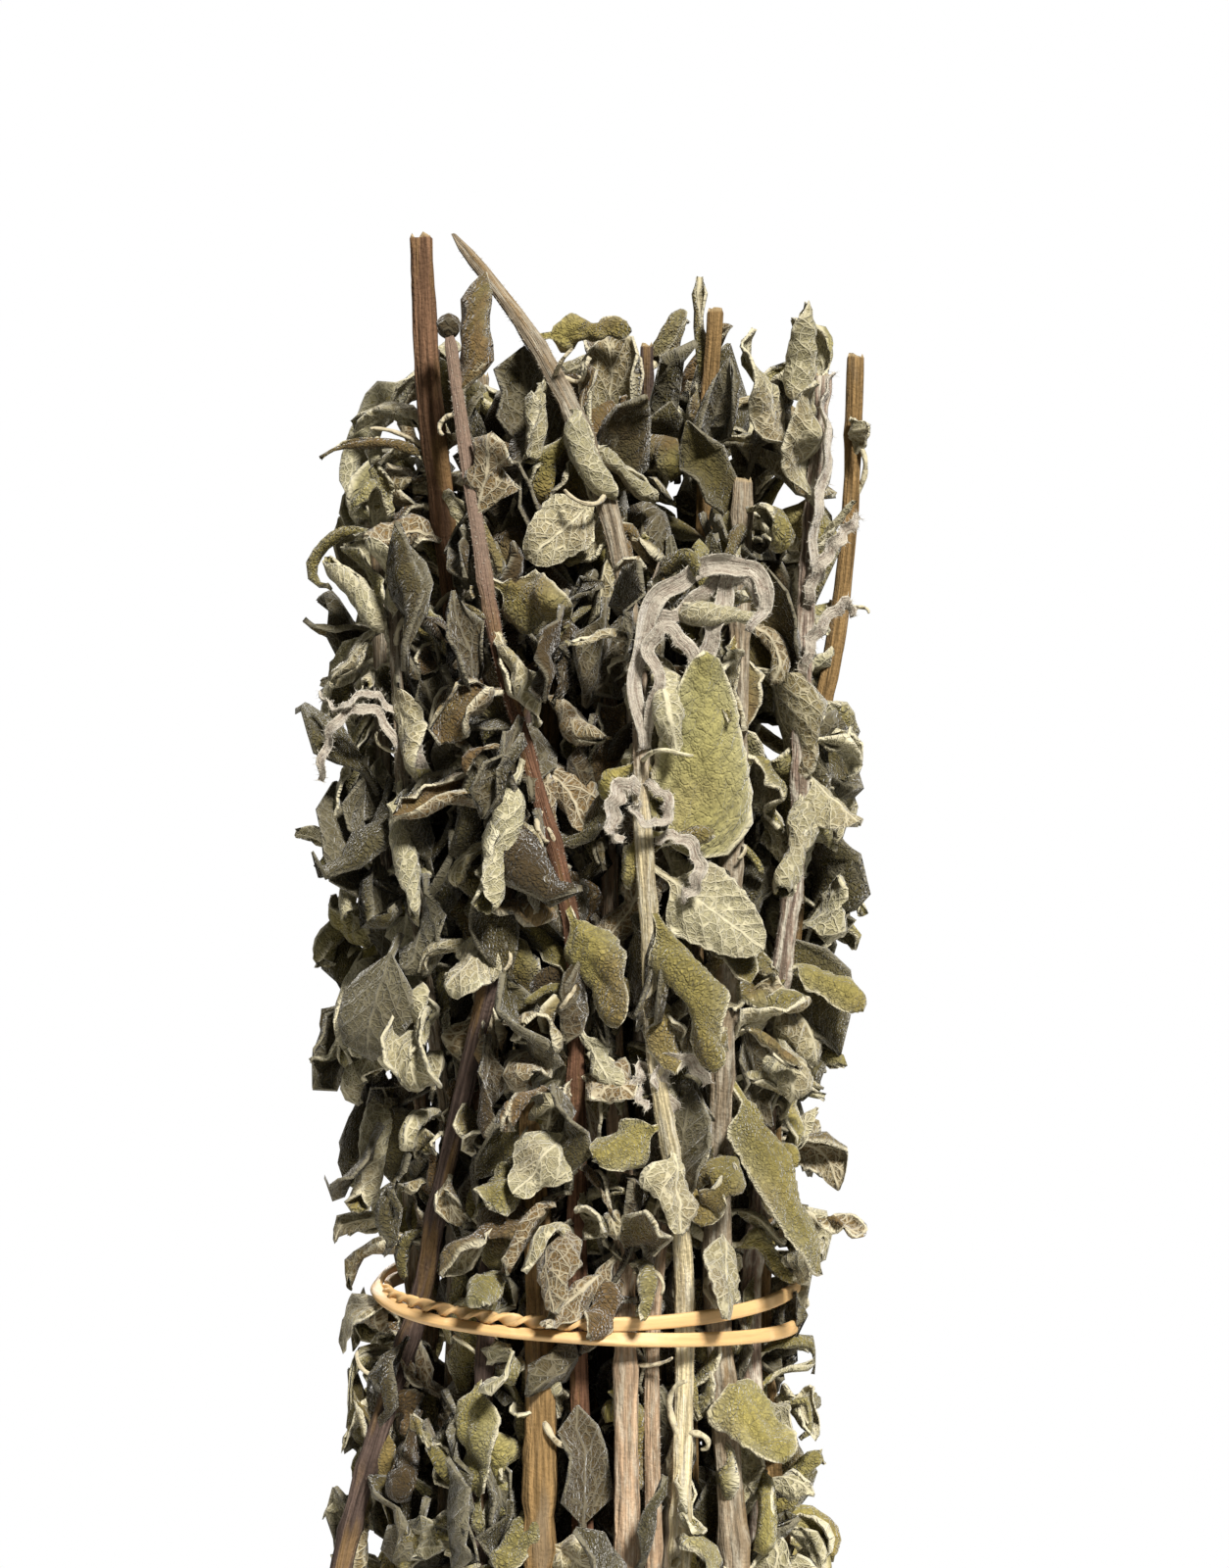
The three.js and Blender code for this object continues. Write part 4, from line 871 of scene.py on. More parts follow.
def small_leaves(stems, space, count, draw):
    """Small leaves in the gaps between the others, tried at random heights of every stem and kept where
    they are clear."""
    found = {stem.name: [] for stem in stems}
    for owner, stem in enumerate(stems):
        low = max(stem.leaf_from, 6)
        for k in range(count):
            z = float(draw.uniform(low, min(stem.leaf_to, 238)))
            for _ in range(SMALL_TRIES):
                leaf = drawn_leaf(stem, z, 1 if k % 2 else -1, float(draw.uniform(0.5, 1.05)), draw.random)
                leaf["along"] = unit(leaf["along"] * [0.6, 0.6, 1.5])
                leaf["facing"] = unit(leaf["facing"] - leaf["along"] * leaf["facing"].dot(leaf["along"]))
                leaf["rolled_radius"] *= 0.7
                leaf["reach_out"] = 1.04 + 0.1 * math.exp(-(((z - BAND_Z) / 25) ** 2))
                samples = leaf_samples(leaf)
                if space.is_clear(samples, leaf, owner, -0.1):
                    found[stem.name].append(leaf)
                    space.fill(samples, leaf["rolled_radius"] or BLADE_RADIUS, owner)
                    break
    return found


def inner_leaves(stems, count, draw):
    """Leaves packed inside the bunch, that close it to light. Each hangs at a random place of an oval
    well inside the outline, and belongs to the stem that is nearest."""
    found = {stem.name: [] for stem in stems}
    for _ in range(count):
        z, angle = float(draw.uniform(14, 232)), float(draw.uniform(0, 2 * math.pi))
        out = (0.87 - 0.24 * math.exp(-(((z - BAND_Z) / 18) ** 2))) * math.sqrt(float(draw.uniform(0.05, 1)))
        waist = 1 - WAIST_DEPTH * math.exp(-(((z - BAND_Z) / WAIST_REACH) ** 2))
        narrow = 1 - 0.35 * float(smooth(190, 240, z))
        root = np.array([BUNCH_CENTRE_X + BUNCH_HALF_X * waist * narrow * out * math.cos(angle),
                         BUNCH_HALF_Y * waist * narrow * out * math.sin(angle), z])
        along = unit(np.append(draw.uniform(-0.5, 0.5, 2), draw.choice([-1.0, 1.0])))
        facing = np.append(draw.uniform(-1, 1, 2), 0.1)
        facing = unit(facing - along * facing.dot(along))
        nearest = min(stems, key=lambda stem: np.hypot(*(stem.axis_at(min(z, stem.top)) - root)[:2]))
        length = float(draw.uniform(15, 24))
        found[nearest.name].append({
            "root": root, "along": along, "facing": facing, "length": length, "half_width": length * 0.3,
            "roll": 0.9, "bend": float(draw.uniform(-1, 1)), "twist": float(draw.uniform(-1, 1)), "wave": 1.0,
            "phase": z, "rolled_radius": 0.0, "placed": False, "reach_out": 1.0,
        })
    return found


def shoots(stem, count, tone, draw):
    """Bare woolly stalks that curl away from a stem. Each follows a direction that turns in a plane
    faster and faster towards its end, with a sideways sway, and is a round tube that thins out."""
    if not count:
        return None
    rings, sides = 20, 6
    z = draw.uniform(max(stem.leaf_from, 30), stem.leaf_to, count)
    root = stem.axis_at(z)
    outward = unit((root - [BUNCH_CENTRE_X, 0, 0]) * [1, 1, 0])
    heading = draw.uniform(-1.3, 1.3, (count, 1))
    flat = outward * np.cos(heading) + np.cross(UP, outward) * np.sin(heading)
    slope = draw.uniform(-0.4, 1.3, (count, 1))
    along = flat * np.cos(slope) + UP * np.sin(slope)
    facing = np.cross(np.cross(along, draw.normal(size=(count, 3))), along)
    facing = unit(facing)
    side = np.cross(along, facing)
    t = np.linspace(0, 1, rings)
    turn = draw.uniform(0.8, 4.5, (count, 1)) * draw.choice([-1, 1], (count, 1)) * t**1.7
    sway = 0.5 * np.sin(draw.uniform(2, 6, (count, 1)) * t)
    way = along[:, None] * np.cos(turn)[..., None] + facing[:, None] * np.sin(turn)[..., None]
    way = unit(way + side[:, None] * sway[..., None])
    length = draw.uniform(6, 14, (count, 1, 1))
    middle = root[:, None] + np.cumsum(way, axis=1) * length / rings
    first = unit(np.cross(way, side[:, None] + 0.01))
    second = np.cross(way, first)
    radius = draw.uniform(0.42, 0.7, (count, 1)) * (1 - 0.45 * t) * (1 + 0.12 * np.sin(23 * t))
    angle = np.arange(sides) / sides * 2 * math.pi
    ring = first[:, :, None] * np.cos(angle)[:, None] + second[:, :, None] * np.sin(angle)[:, None]
    points = middle[:, :, None] + ring * radius[:, :, None, None]
    faces = [(face[None] + (np.arange(count) * rings * sides)[:, None, None]).reshape(-1, face.shape[1])
             for face in tube_faces(rings, sides)]
    places = np.stack(np.broadcast_arrays((t * 15)[None, :, None], 0.2 * np.cos(angle), points[..., 0])[:2], -1)
    shade = np.clip(tone + draw.uniform(-0.6, 0, (count, 1, 1)), 0, 1)
    marks = np.stack(np.broadcast_arrays(shade, np.full(points.shape[:-1], 1.0), 0.0, 0.0), -1)
    return points, faces, places.reshape(-1, 2), marks.reshape(-1, 4)


def hairs(roots, outward, length, draw):
    """Short stiff hairs as slim closed three-sided cones that lean at random from the given directions."""
    n = len(roots)
    way = unit(outward + draw.normal(scale=0.45, size=(n, 3)))
    first = unit(np.cross(way, [0.3, 0.2, 0.93]))
    second = np.cross(way, first)
    angle = np.arange(3) / 3 * 2 * math.pi
    ring = first[:, None] * np.cos(angle)[:, None] + second[:, None] * np.sin(angle)[:, None]
    tips = roots + way * (length * draw.uniform(0.5, 1.2, (n, 1)))
    points = np.concatenate([roots[:, None] - way[:, None] * 0.1 + 0.055 * ring, tips[:, None]], axis=1)
    corners = np.array([[0, 1, 3], [1, 2, 3], [2, 0, 3], [2, 1, 0]])
    faces = (corners[None] + 4 * np.arange(n)[:, None, None]).reshape(-1, 3)
    return points, [faces], (0.0, 0.0), (0.9, 1.0, 1.0, 0.0)


# Woolly narrow leaves that are curled up at a joint of a stem: half width and route, for each stem.
WOOLLY_CURLS = {
    "stem_pale_front": [
        (1.6, [(10.6, -36.5, 184), (9.2, -37, 192), (9.6, -37.5, 200), (12.5, -38, 208), (17.6, -38.5, 211.6),
               (23.2, -38.5, 213.4), (28, -38, 212.2), (30.2, -38, 208.8), (28.8, -38.5, 204.8)]),
        (1.5, [(15.2, -36, 186), (18.6, -37, 195), (21.6, -37.5, 203), (24.2, -37.5, 211), (26.5, -37, 214)]),
        (1.2, [(10.8, -37, 187), (12.8, -38.5, 194), (11.4, -39, 199.6), (13.2, -39, 203), (16.2, -38.5, 202),
               (18.2, -38, 198.4), (18, -37.5, 194), (16.4, -37, 188.5)]),
        (1.3, [(11.6, -37.5, 204.5), (16.5, -37.5, 206), (21.2, -37.5, 210), (26, -37.5, 211.4),
               (29.4, -38, 207.2), (27.4, -39, 202.6)]),
        (1.0, [(11, -36, 178.5), (13.4, -38.5, 177.2), (14.6, -39.5, 174.6), (13, -40, 172.2), (10.2, -40, 172.6),
               (8.6, -39.5, 174.4), (10, -39, 175.8)]),
        (1.7, [(10, -37, 178), (7.2, -38.5, 178.2), (5.4, -39, 175), (5, -38.5, 171), (6.8, -38, 169)]),
        (1.1, [(12.4, -36.5, 169.5), (16, -38, 170), (19.2, -38.5, 166.6), (18.6, -38.5, 162), (16.4, -38, 160)]),
        (1.4, [(15.4, -30, 126), (13, -32.5, 130.5), (14, -34, 134), (18, -33.5, 134.2), (21, -31.5, 130.4)]),
        (1.2, [(14, -29, 128), (10.6, -31.5, 133), (9.4, -32.5, 129.4), (11.4, -33, 126.4)]),
    ],
    "stem_right_front": [
        (1.2, [(37.4, -19.5, 208), (39.4, -21, 214), (42.6, -21, 219), (46, -20, 222.5)]),
        (1.3, [(38, -19, 214), (38.6, -21, 224), (40.4, -21, 233), (40, -20, 241), (41.8, -19, 246)]),
        (1.1, [(36.4, -20.5, 196), (38.6, -22, 203), (43.4, -21.5, 208), (45, -21, 206)]),
    ],
    "stem_left_pale": [
        (1.0, [(-29.6, -19.5, 184), (-33, -21, 190), (-38, -21, 189.6), (-41, -20, 185), (-42.4, -19, 179)]),
        (0.9, [(-30, -19.5, 190), (-34.4, -21, 193), (-39.4, -20.5, 190.6), (-42.6, -19, 193.5)]),
        (1.1, [(-30, -19, 186), (-26.4, -21.5, 184), (-26, -21.5, 178), (-28.4, -21.5, 171)]),
    ],
}


def woolly_curls(stem, draw):
    """Long woolly ribbons that follow given routes: their cross-section is a thin oval bent into a
    furrow, widest in the middle of their length, turned slowly about their own route."""
    shells = []
    for index, (half_width, route) in enumerate(WOOLLY_CURLS.get(stem.name, ())):
        middle = smooth_route(route, 7)
        tangent = unit(np.gradient(middle, axis=0))
        side = unit(np.cross(tangent, [0.1, -1.0, 0.25]))
        normal = np.cross(side, tangent)
        t = np.linspace(0, 1, len(middle))[:, None]
        middle = middle + 0.35 * (side * np.sin(31 * t + index) + normal * np.sin(23 * t + 2 * index))
        sides = 12
        angle = np.arange(sides) / sides * 2 * math.pi
        half = half_width * (0.6 + 0.4 * np.sin(math.pi * np.clip(t, 0.02, 0.985)) ** 0.6)
        half = half * (1 + 0.1 * np.sin(23 * t + 2 * angle) + 0.07 * np.sin(57 * t + 3 * angle))
        x = half * np.cos(angle)
        y = 0.26 * np.sin(angle) + 0.8 * half_width * (x / half_width) ** 2 * (0.45 + 0.55 * np.sin(3 * t + index))
        turn = draw.uniform(-0.6, 0.6) + draw.uniform(-1.4, 1.4) * t
        x, y = x * np.cos(turn) - y * np.sin(turn), x * np.sin(turn) + y * np.cos(turn)
        points = middle[:, None] + x[..., None] * side[:, None] + y[..., None] * normal[:, None]
        places = np.stack(np.broadcast_arrays(t * 30 + 40 * index, half * np.cos(angle)), -1)
        marks = np.stack(np.broadcast_arrays(0.5 + 0 * half, 0.35, np.abs(np.cos(angle)), 0.0), -1)
        shells.append((points, tube_faces(len(middle), sides), places.reshape(-1, 2), marks.reshape(-1, 4)))
        picked = draw.integers(0, len(middle), 260), draw.integers(0, sides, 260)
        shells.append(hairs(points[picked], unit((points - middle[:, None])[picked]), 0.9, draw))
    return shells


class SageLeafSettings(bpy.types.PropertyGroup):
    """Sizes and colours of the leaves."""

    crinkle: FloatProperty(name="Crinkle", description="How strongly the dried blades are crumpled",
                           default=1.0, min=0, max=3)
    small_count: IntProperty(name="Small leaves", default=55, min=0, max=80,
                             description="Growing points tried for small leaves on every stem")
    inner_count: IntProperty(name="Inner leaves", description="Leaves packed inside the bunch", default=700, min=0)
    shoot_count: IntProperty(name="Bare stalks", description="Curled stalks without a blade on every stem",
                             default=4, min=0)
    upper_light: FloatVectorProperty(name="Upper side, light", description="Palest olive of the upper sides",
                                     subtype="COLOR", default=linear("ab9f5c"), min=0, max=1)
    upper_dark: FloatVectorProperty(name="Upper side, dark", description="Darkest olive of the upper sides",
                                    subtype="COLOR", default=linear("5c5228"), min=0, max=1)
    under_light: FloatVectorProperty(name="Underside, light", description="Palest woolly grey of the undersides",
                                     subtype="COLOR", default=linear("bab38f"), min=0, max=1)
    under_dark: FloatVectorProperty(name="Underside, dark", description="Darkest grey green of the undersides",
                                    subtype="COLOR", default=linear("80703e"), min=0, max=1)
    faded: FloatVectorProperty(name="Faded brown", description="Brown of the leaves that have faded most",
                               subtype="COLOR", default=linear("785e3c"), min=0, max=1)
    cool: FloatVectorProperty(name="Cool grey", description="Grey green of the coolest patches",
                              subtype="COLOR", default=linear("80866d"), min=0, max=1)
    bare_skin: FloatVectorProperty(name="Mauve skin", description="Skin of the woolly curls under their wool",
                                   subtype="COLOR", default=linear("85766a"), min=0, max=1)
    white_wool: FloatVectorProperty(name="White wool", description="Wool of the woolly curls and stems",
                                    subtype="COLOR", default=linear("c6bfb0"), min=0, max=1)
    # Painted shade: the dark brown used for the leaves inside the bunch, the hollows of the undersides and the
    # cracks of the upper sides.
    painted_shade_brown: FloatVectorProperty(name="Inner brown", description="Dark brown of the leaves inside the bunch",
                              subtype="COLOR", default=linear("292213"), min=0, max=1)
    wool: FloatVectorProperty(name="Wool", description="Pale wool on the veins and rims",
                              subtype="COLOR", default=linear("dcd5bb"), min=0, max=1)


class Recipe:
    """A material being put together from nodes."""

    def __init__(self, name):
        self.material = bpy.data.materials.new(name)
        self.material.use_nodes = True
        self.nodes = self.material.node_tree.nodes
        self.links = self.material.node_tree.links
        self.shader = self.nodes["Principled BSDF"]

    def node(self, kind, inputs=(), **settings):
        node = self.nodes.new("ShaderNode" + kind)
        for key, value in settings.items():
            setattr(node, key, value)
        for key, value in dict(inputs).items():
            self.feed(node.inputs[key], value)
        return node

    def feed(self, socket, value):
        if isinstance(value, bpy.types.NodeSocket):
            self.links.new(value, socket)
        elif socket.type == "RGBA" and len(value) == 3:
            socket.default_value = (*value, 1)
        else:
            socket.default_value = value

    def math(self, operation, a, b=0.0, clamp=False):
        return self.node("Math", {0: a, 1: b}, operation=operation, use_clamp=clamp).outputs[0]

    def step(self, value, low, high, out_low=0.0, out_high=1.0):
        """A level-ended step of a value from low to high."""
        inputs = {"Value": value, "From Min": low, "From Max": high, "To Min": out_low, "To Max": out_high}
        return self.node("MapRange", inputs, interpolation_type="SMOOTHSTEP").outputs[0]

    def mix(self, factor, a, b, blend="MIX"):
        node = self.node("Mix", data_type="RGBA", blend_type=blend)
        for index, value in ((0, factor), (6, a), (7, b)):
            self.feed(node.inputs[index], value)
        return node.outputs[2]

    def noise(self, vector, scale, detail=3.0, roughness=0.5):
        inputs = {"Vector": vector, "Scale": scale, "Detail": detail, "Roughness": roughness}
        return self.node("TexNoise", inputs).outputs["Fac"]

    def stretched(self, vector, scale):
        return self.node("Mapping", {"Vector": vector, "Scale": scale}).outputs[0]

    def finish(self, colour, roughness, height, depth, strength=1.0):
        self.feed(self.shader.inputs["Base Color"], colour)
        self.feed(self.shader.inputs["Roughness"], roughness)
        bump = self.node("Bump", {"Height": height, "Distance": depth * MM, "Strength": strength})
        self.feed(self.shader.inputs["Normal"], bump.outputs[0])
        return self.material


def bud(foot, radius, height):
    """A closed bud: rings of a radius that follows a half wave over its height, with eight scales."""
    rings, sides = 12, 16
    t = np.linspace(0.03, 0.99, rings)[:, None]
    angle = np.arange(sides) / sides * 2 * math.pi
    out = radius * np.sin(math.pi * t) ** 0.6 * (1 + 0.16 * np.cos(4 * angle + 7 * t))
    points = np.stack(np.broadcast_arrays(out * np.cos(angle), out * np.sin(angle), height * t), -1) + foot
    places = np.stack(np.broadcast_arrays(3 * t, 2 * np.sin(angle)), -1)
    return points, tube_faces(rings, sides), places.reshape(-1, 2), (0.0, 1.0, 0.2, 1.1)


def wool_material(settings):
    """Thick white wool over mauve skin: streaks and tufts of pale wool, rough and matt, with the soft
    bright edge of velvet."""
    recipe = Recipe("sage_wool")
    place = recipe.node("UVMap", uv_map="place").outputs[0]
    solid = recipe.node("TexCoord").outputs["Object"]
    marks = recipe.node("Attribute", attribute_name="marks")
    edge = recipe.node("SeparateColor", {0: marks.outputs["Color"]}).outputs[2]
    streaks = recipe.noise(recipe.stretched(place, (0.3, 3.2, 1.0)), 1.0, 4.0, 0.65)
    tufts = recipe.noise(solid, 900.0, 3.0, 0.65)
    colour = recipe.mix(recipe.step(streaks, 0.34, 0.74), settings.bare_skin, settings.white_wool)
    colour = recipe.mix(recipe.step(edge, 0.7, 0.98), colour, settings.white_wool)
    colour = recipe.mix(recipe.step(tufts, 0.4, 0.62, 0.0, 0.5), colour, settings.white_wool)
    recipe.shader.inputs["Sheen Weight"].default_value = 0.5
    recipe.shader.inputs["Sheen Roughness"].default_value = 0.35
    recipe.shader.inputs["Specular IOR Level"].default_value = 0.1
    return recipe.finish(colour, 0.95, recipe.math("ADD", streaks, tufts), 0.5, 1.0)


def leaf_material(tone, settings):
    """Dried sage blade. Its underside is brown grey under a net of pale raised wool lines, with a cell
    every millimetre and a half, side veins and a midrib. Its upper side is a fine olive felt that
    is puckered up between the veins and cracked along the net. Patches of both fade to brown or to cool
    grey, and the rims are woolly. Painted shade darkens the hollows between the underside's veins, the
    cracks and pebbles of the upper side, and the leaves packed inside the bunch."""
    recipe = Recipe("sage_leaf_" + tone)
    place = recipe.node("UVMap", uv_map="place").outputs[0]
    marks = recipe.node("Attribute", attribute_name="marks")
    shade, underside, edge = recipe.node("SeparateColor", {0: marks.outputs["Color"]}).outputs
    upside = recipe.math("SUBTRACT", 1.0, underside)
    solid = recipe.node("TexCoord").outputs["Object"]
    wobble = recipe.node("TexNoise", {"Vector": place, "Scale": 0.55, "Detail": 3.0}).outputs["Color"]
    warped = recipe.mix(0.4, place, wobble, "LINEAR_LIGHT")
    parts = recipe.node("SeparateXYZ", {0: warped}).outputs
    lace = recipe.node("TexVoronoi", {"Vector": warped, "Scale": 0.72}, feature="DISTANCE_TO_EDGE").outputs[0]
    mesh = recipe.node("TexVoronoi", {"Vector": warped, "Scale": 1.6}, feature="DISTANCE_TO_EDGE").outputs[0]
    felt = recipe.node("TexVoronoi", {"Vector": place, "Scale": 2.4}).outputs["Distance"]
    out = recipe.math("ABSOLUTE", parts[1])
    slant = recipe.math("SUBTRACT", parts[0], recipe.math("MULTIPLY", out, 1.2))
    saw = recipe.math("PINGPONG", slant, 1.9)
    lateral = recipe.step(saw, 0.06, 0.3, 0.9, 0.0)
    midrib = recipe.step(out, 0.12, 0.42, 1.0, 0.0)
    main_veins = recipe.math("MAXIMUM", lateral, midrib)
    net = recipe.math("MAXIMUM", recipe.step(lace, 0.02, 0.11, 0.8, 0.0), recipe.step(mesh, 0.02, 0.15, 0.42, 0.0))
    veins = recipe.math("MAXIMUM", net, main_veins)
    pillow = recipe.step(saw, 0.0, 1.5)
    cracks = recipe.step(lace, 0.01, 0.1, 1.0, 0.0)
    dots = recipe.step(felt, 0.2, 0.62)
    soft = recipe.step(marks.outputs["Alpha"], -0.2, -0.8, 1.0, 0.15)
    strength = recipe.step(recipe.noise(solid, 34.0, 2.0), 0.4, 0.58, 0.3, 1.0)
    strength = recipe.math("MULTIPLY", strength, soft)
    pebbles = recipe.math("MULTIPLY", recipe.step(mesh, 0.02, 0.24, 1.0, 0.0), strength)

    patches = recipe.noise(solid, 95.0, 4.0, 0.6)
    shade = recipe.math("ADD", shade, recipe.math("MULTIPLY", recipe.math("SUBTRACT", patches, 0.5), 0.9), True)
    upper = recipe.mix(shade, settings.upper_dark, settings.upper_light)
    upper = recipe.mix(recipe.step(edge, 0.2, 1.0, 0.0, 0.45), upper, settings.under_light)
    under = recipe.mix(shade, settings.under_dark, settings.under_light)
    colour = recipe.mix(underside, upper, under)
    hue = recipe.noise(solid, 48.0, 2.0)
    colour = recipe.mix(recipe.step(hue, 0.5, 0.72, 0.0, 0.55), colour, settings.faded)
    colour = recipe.mix(recipe.step(hue, 0.5, 0.3, 0.0, 0.18), colour, settings.cool)
    colour = recipe.mix(recipe.step(soft, 1.0, 0.15, 0.0, 0.3), colour, settings.cool)
    fade = recipe.step(shade, 0.38, 0.05)
    colour = recipe.mix(recipe.math("MULTIPLY", fade, 0.8), colour, settings.faded)
    fine = recipe.step(recipe.noise(solid, 900.0, 3.0, 0.7), 0.35, 0.7, 0.76, 1.16)
    fine_grey = recipe.node("CombineColor", {0: fine, 1: fine, 2: fine}).outputs[0]
    colour = recipe.mix(1.0, colour, fine_grey, "MULTIPLY")
    pale = recipe.math("MULTIPLY", recipe.math("MULTIPLY", veins, underside), 0.54)
    colour = recipe.mix(pale, colour, settings.wool)
    # Painted shade: the hollows of the underside between its raised veins are darkened.
    painted_hollow_shade = recipe.math("MULTIPLY", recipe.math("SUBTRACT", 1.0, veins), underside)
    colour = recipe.mix(recipe.math("MULTIPLY", painted_hollow_shade, 0.2), colour, settings.painted_shade_brown)
    # Painted shade in the cracks, felt dots and pebble seams of the upper side.
    painted_groove_shade = recipe.math("MAXIMUM", recipe.math("MULTIPLY", cracks, 0.4), recipe.math("MULTIPLY", dots, 0.24))
    painted_groove_shade = recipe.math("MULTIPLY", painted_groove_shade, soft)
    painted_groove_shade = recipe.math("MAXIMUM", painted_groove_shade, recipe.math("MULTIPLY", pebbles, 0.5))
    colour = recipe.mix(recipe.math("MULTIPLY", painted_groove_shade, upside), colour, settings.painted_shade_brown)
    rim = recipe.math("MULTIPLY", recipe.step(edge, 0.84, 1.0), 0.7)
    colour = recipe.mix(rim, colour, settings.wool)
    # The fourth mark darkens towards the shade brown: a random darker tone on the outer leaves, painted shade on
    # the leaves packed inside the bunch, and the bud at its darkest.
    colour = recipe.mix(recipe.math("MULTIPLY", marks.outputs["Alpha"], 0.75), colour, settings.painted_shade_brown)

    raised = recipe.math("SUBTRACT", recipe.math("MULTIPLY", veins, 0.3), recipe.math("MULTIPLY", pillow, 0.25))
    puckered = recipe.math("MULTIPLY", pillow, 0.2)
    puckered = recipe.math("SUBTRACT", puckered, recipe.math("MULTIPLY", cracks, 0.1))
    puckered = recipe.math("SUBTRACT", puckered, recipe.math("MULTIPLY", dots, 0.08))
    puckered = recipe.math("SUBTRACT", puckered, recipe.math("MULTIPLY", pebbles, 0.28))
    fuzz = recipe.math("MULTIPLY", recipe.noise(solid, 2600.0, 2.0), 0.12)
    height = recipe.math("ADD", recipe.mix(underside, puckered, raised), fuzz)
    recipe.shader.inputs["Sheen Weight"].default_value = 0.3
    recipe.shader.inputs["Sheen Roughness"].default_value = 0.4
    recipe.shader.inputs["Specular IOR Level"].default_value = 0.2
    return recipe.finish(colour, 0.9, height, 1.0, 1.0)


# Rows along and columns across of the leaves' shells.
LEAF_GRID = (16, 12)
PLACED_GRID = (30, 18)
SMALL_GRID = (10, 6)
INNER_GRID = (6, 4)


class SAGE_OT_leaves(bpy.types.Operator):
    """Grow the dried leaves of every stem"""

    bl_idname = "sage.leaves"
    bl_label = "Leaves"

    def execute(self, context):
        settings = context.scene.sage_leaves
        stems, space = bunch()
        draw = np.random.default_rng(41)
        space.fill(band_point(np.arange(BAND_SAMPLES) / BAND_SAMPLES), BAND_WIDTH, -1)
        for owner, stem in enumerate(stems):
            placed = [leaf for leaf in stem.leaves if leaf["placed"]]
            for leaf, look in zip(placed, PLACED_LOOKS.get(stem.name, ())):
                leaf["look"] = look
            for row in ADDED_LEAVES.get(stem.name, ()):
                leaf = placed_leaf(stem, **{key: row[key] for key in row if key != "look"})
                leaf["look"] = row["look"]
                stem.leaves.append(leaf)
            for leaf in stem.leaves:
                if leaf["placed"] and not leaf["rolled_radius"]:
                    space.fill(leaf_samples(leaf), 1.2, owner)
        small = small_leaves(stems, space, settings.small_count, draw)
        inner = inner_leaves(stems, settings.inner_count, draw)
        materials = {tone: leaf_material(tone, settings) for tone in TONES}
        wool = wool_material(settings)
        for stem in stems:
            shape = Shape()
            groups = (
                ([leaf for leaf in stem.leaves if leaf["placed"]], PLACED_GRID, 0),
                ([leaf for leaf in stem.leaves if not leaf["placed"]], LEAF_GRID, 0),
                (small[stem.name], SMALL_GRID, 0),
                # The leaves packed inside get the full mark of painted shade.
                (inner[stem.name], INNER_GRID, 1),
            )
            for leaves, (rows, columns), dark_tone_and_painted_shade in groups:
                if leaves:
                    points, quads, places, marks = leaf_shells(leaves, rows, columns, TONES[stem.tone], draw,
                                                               settings.crinkle, dark_tone_and_painted_shade)
                    shape.add(points, [quads], places, marks)
            bare = shoots(stem, settings.shoot_count, TONES[stem.tone], draw)
            if bare:
                shape.add(*bare)
            curls = Shape()
            for curl in woolly_curls(stem, draw):
                curls.add(*curl)
            if curls.count:
                curls.finish(stem.name + "_wool", wool, "sage_" + stem.tone, [stem.name])
            if stem.name == "stem_red":
                shape.add(*bud(stem.points[-1] - 1.6 * UP, 2, 4.4))
            if shape.count:
                shape.finish(stem.name + "_leaves", materials[stem.tone], "sage_" + stem.tone, [stem.name])
        return {"FINISHED"}


# ---- Stems --------------------------------------------------------------------------------------

BARKS = {
    "stem_tall_cut": "red", "stem_pointed": "grey", "stem_red": "rosy", "stem_pale_front": "woolly",
    "stem_right_front": "mauve", "stem_dark_diagonal": "purple", "stem_thick": "ochre", "stem_pink": "pink",
    "stem_thin_pale": "pink", "stem_grey_thick": "grey", "stem_right_low": "ochre",
    "stem_right_splayed": "ochre", "stem_ochre_cut": "ochre", "stem_left_edge": "grey",
    "stem_left_pale": "grey", "stem_left_front": "purple",
}
MAUVE_FROM = {"woolly": 166, "rosy": 196}  # the height from which these barks turn mauve
RING_BARKS = ("ochre", "grey", "purple", "pink")
POINTED = {"stem_pointed": 5, "stem_red": 2, "stem_pale_front": 26}  # and the length of the point
TOP_SWELL = {"stem_tall_cut": 1.3, "stem_pointed": 1.25, "stem_ochre_cut": 1.1}  # thickness of the top
WOOD_SIDES = 12
WOOD_STEP = 2.6


WOOLLY_FROM = {"stem_pale_front": 60, "stem_right_front": 120, "stem_pointed": 190, "stem_thin_pale": 60,
               "stem_red": 150, "stem_left_pale": 120}  # stems with wool, and the lowest height of it


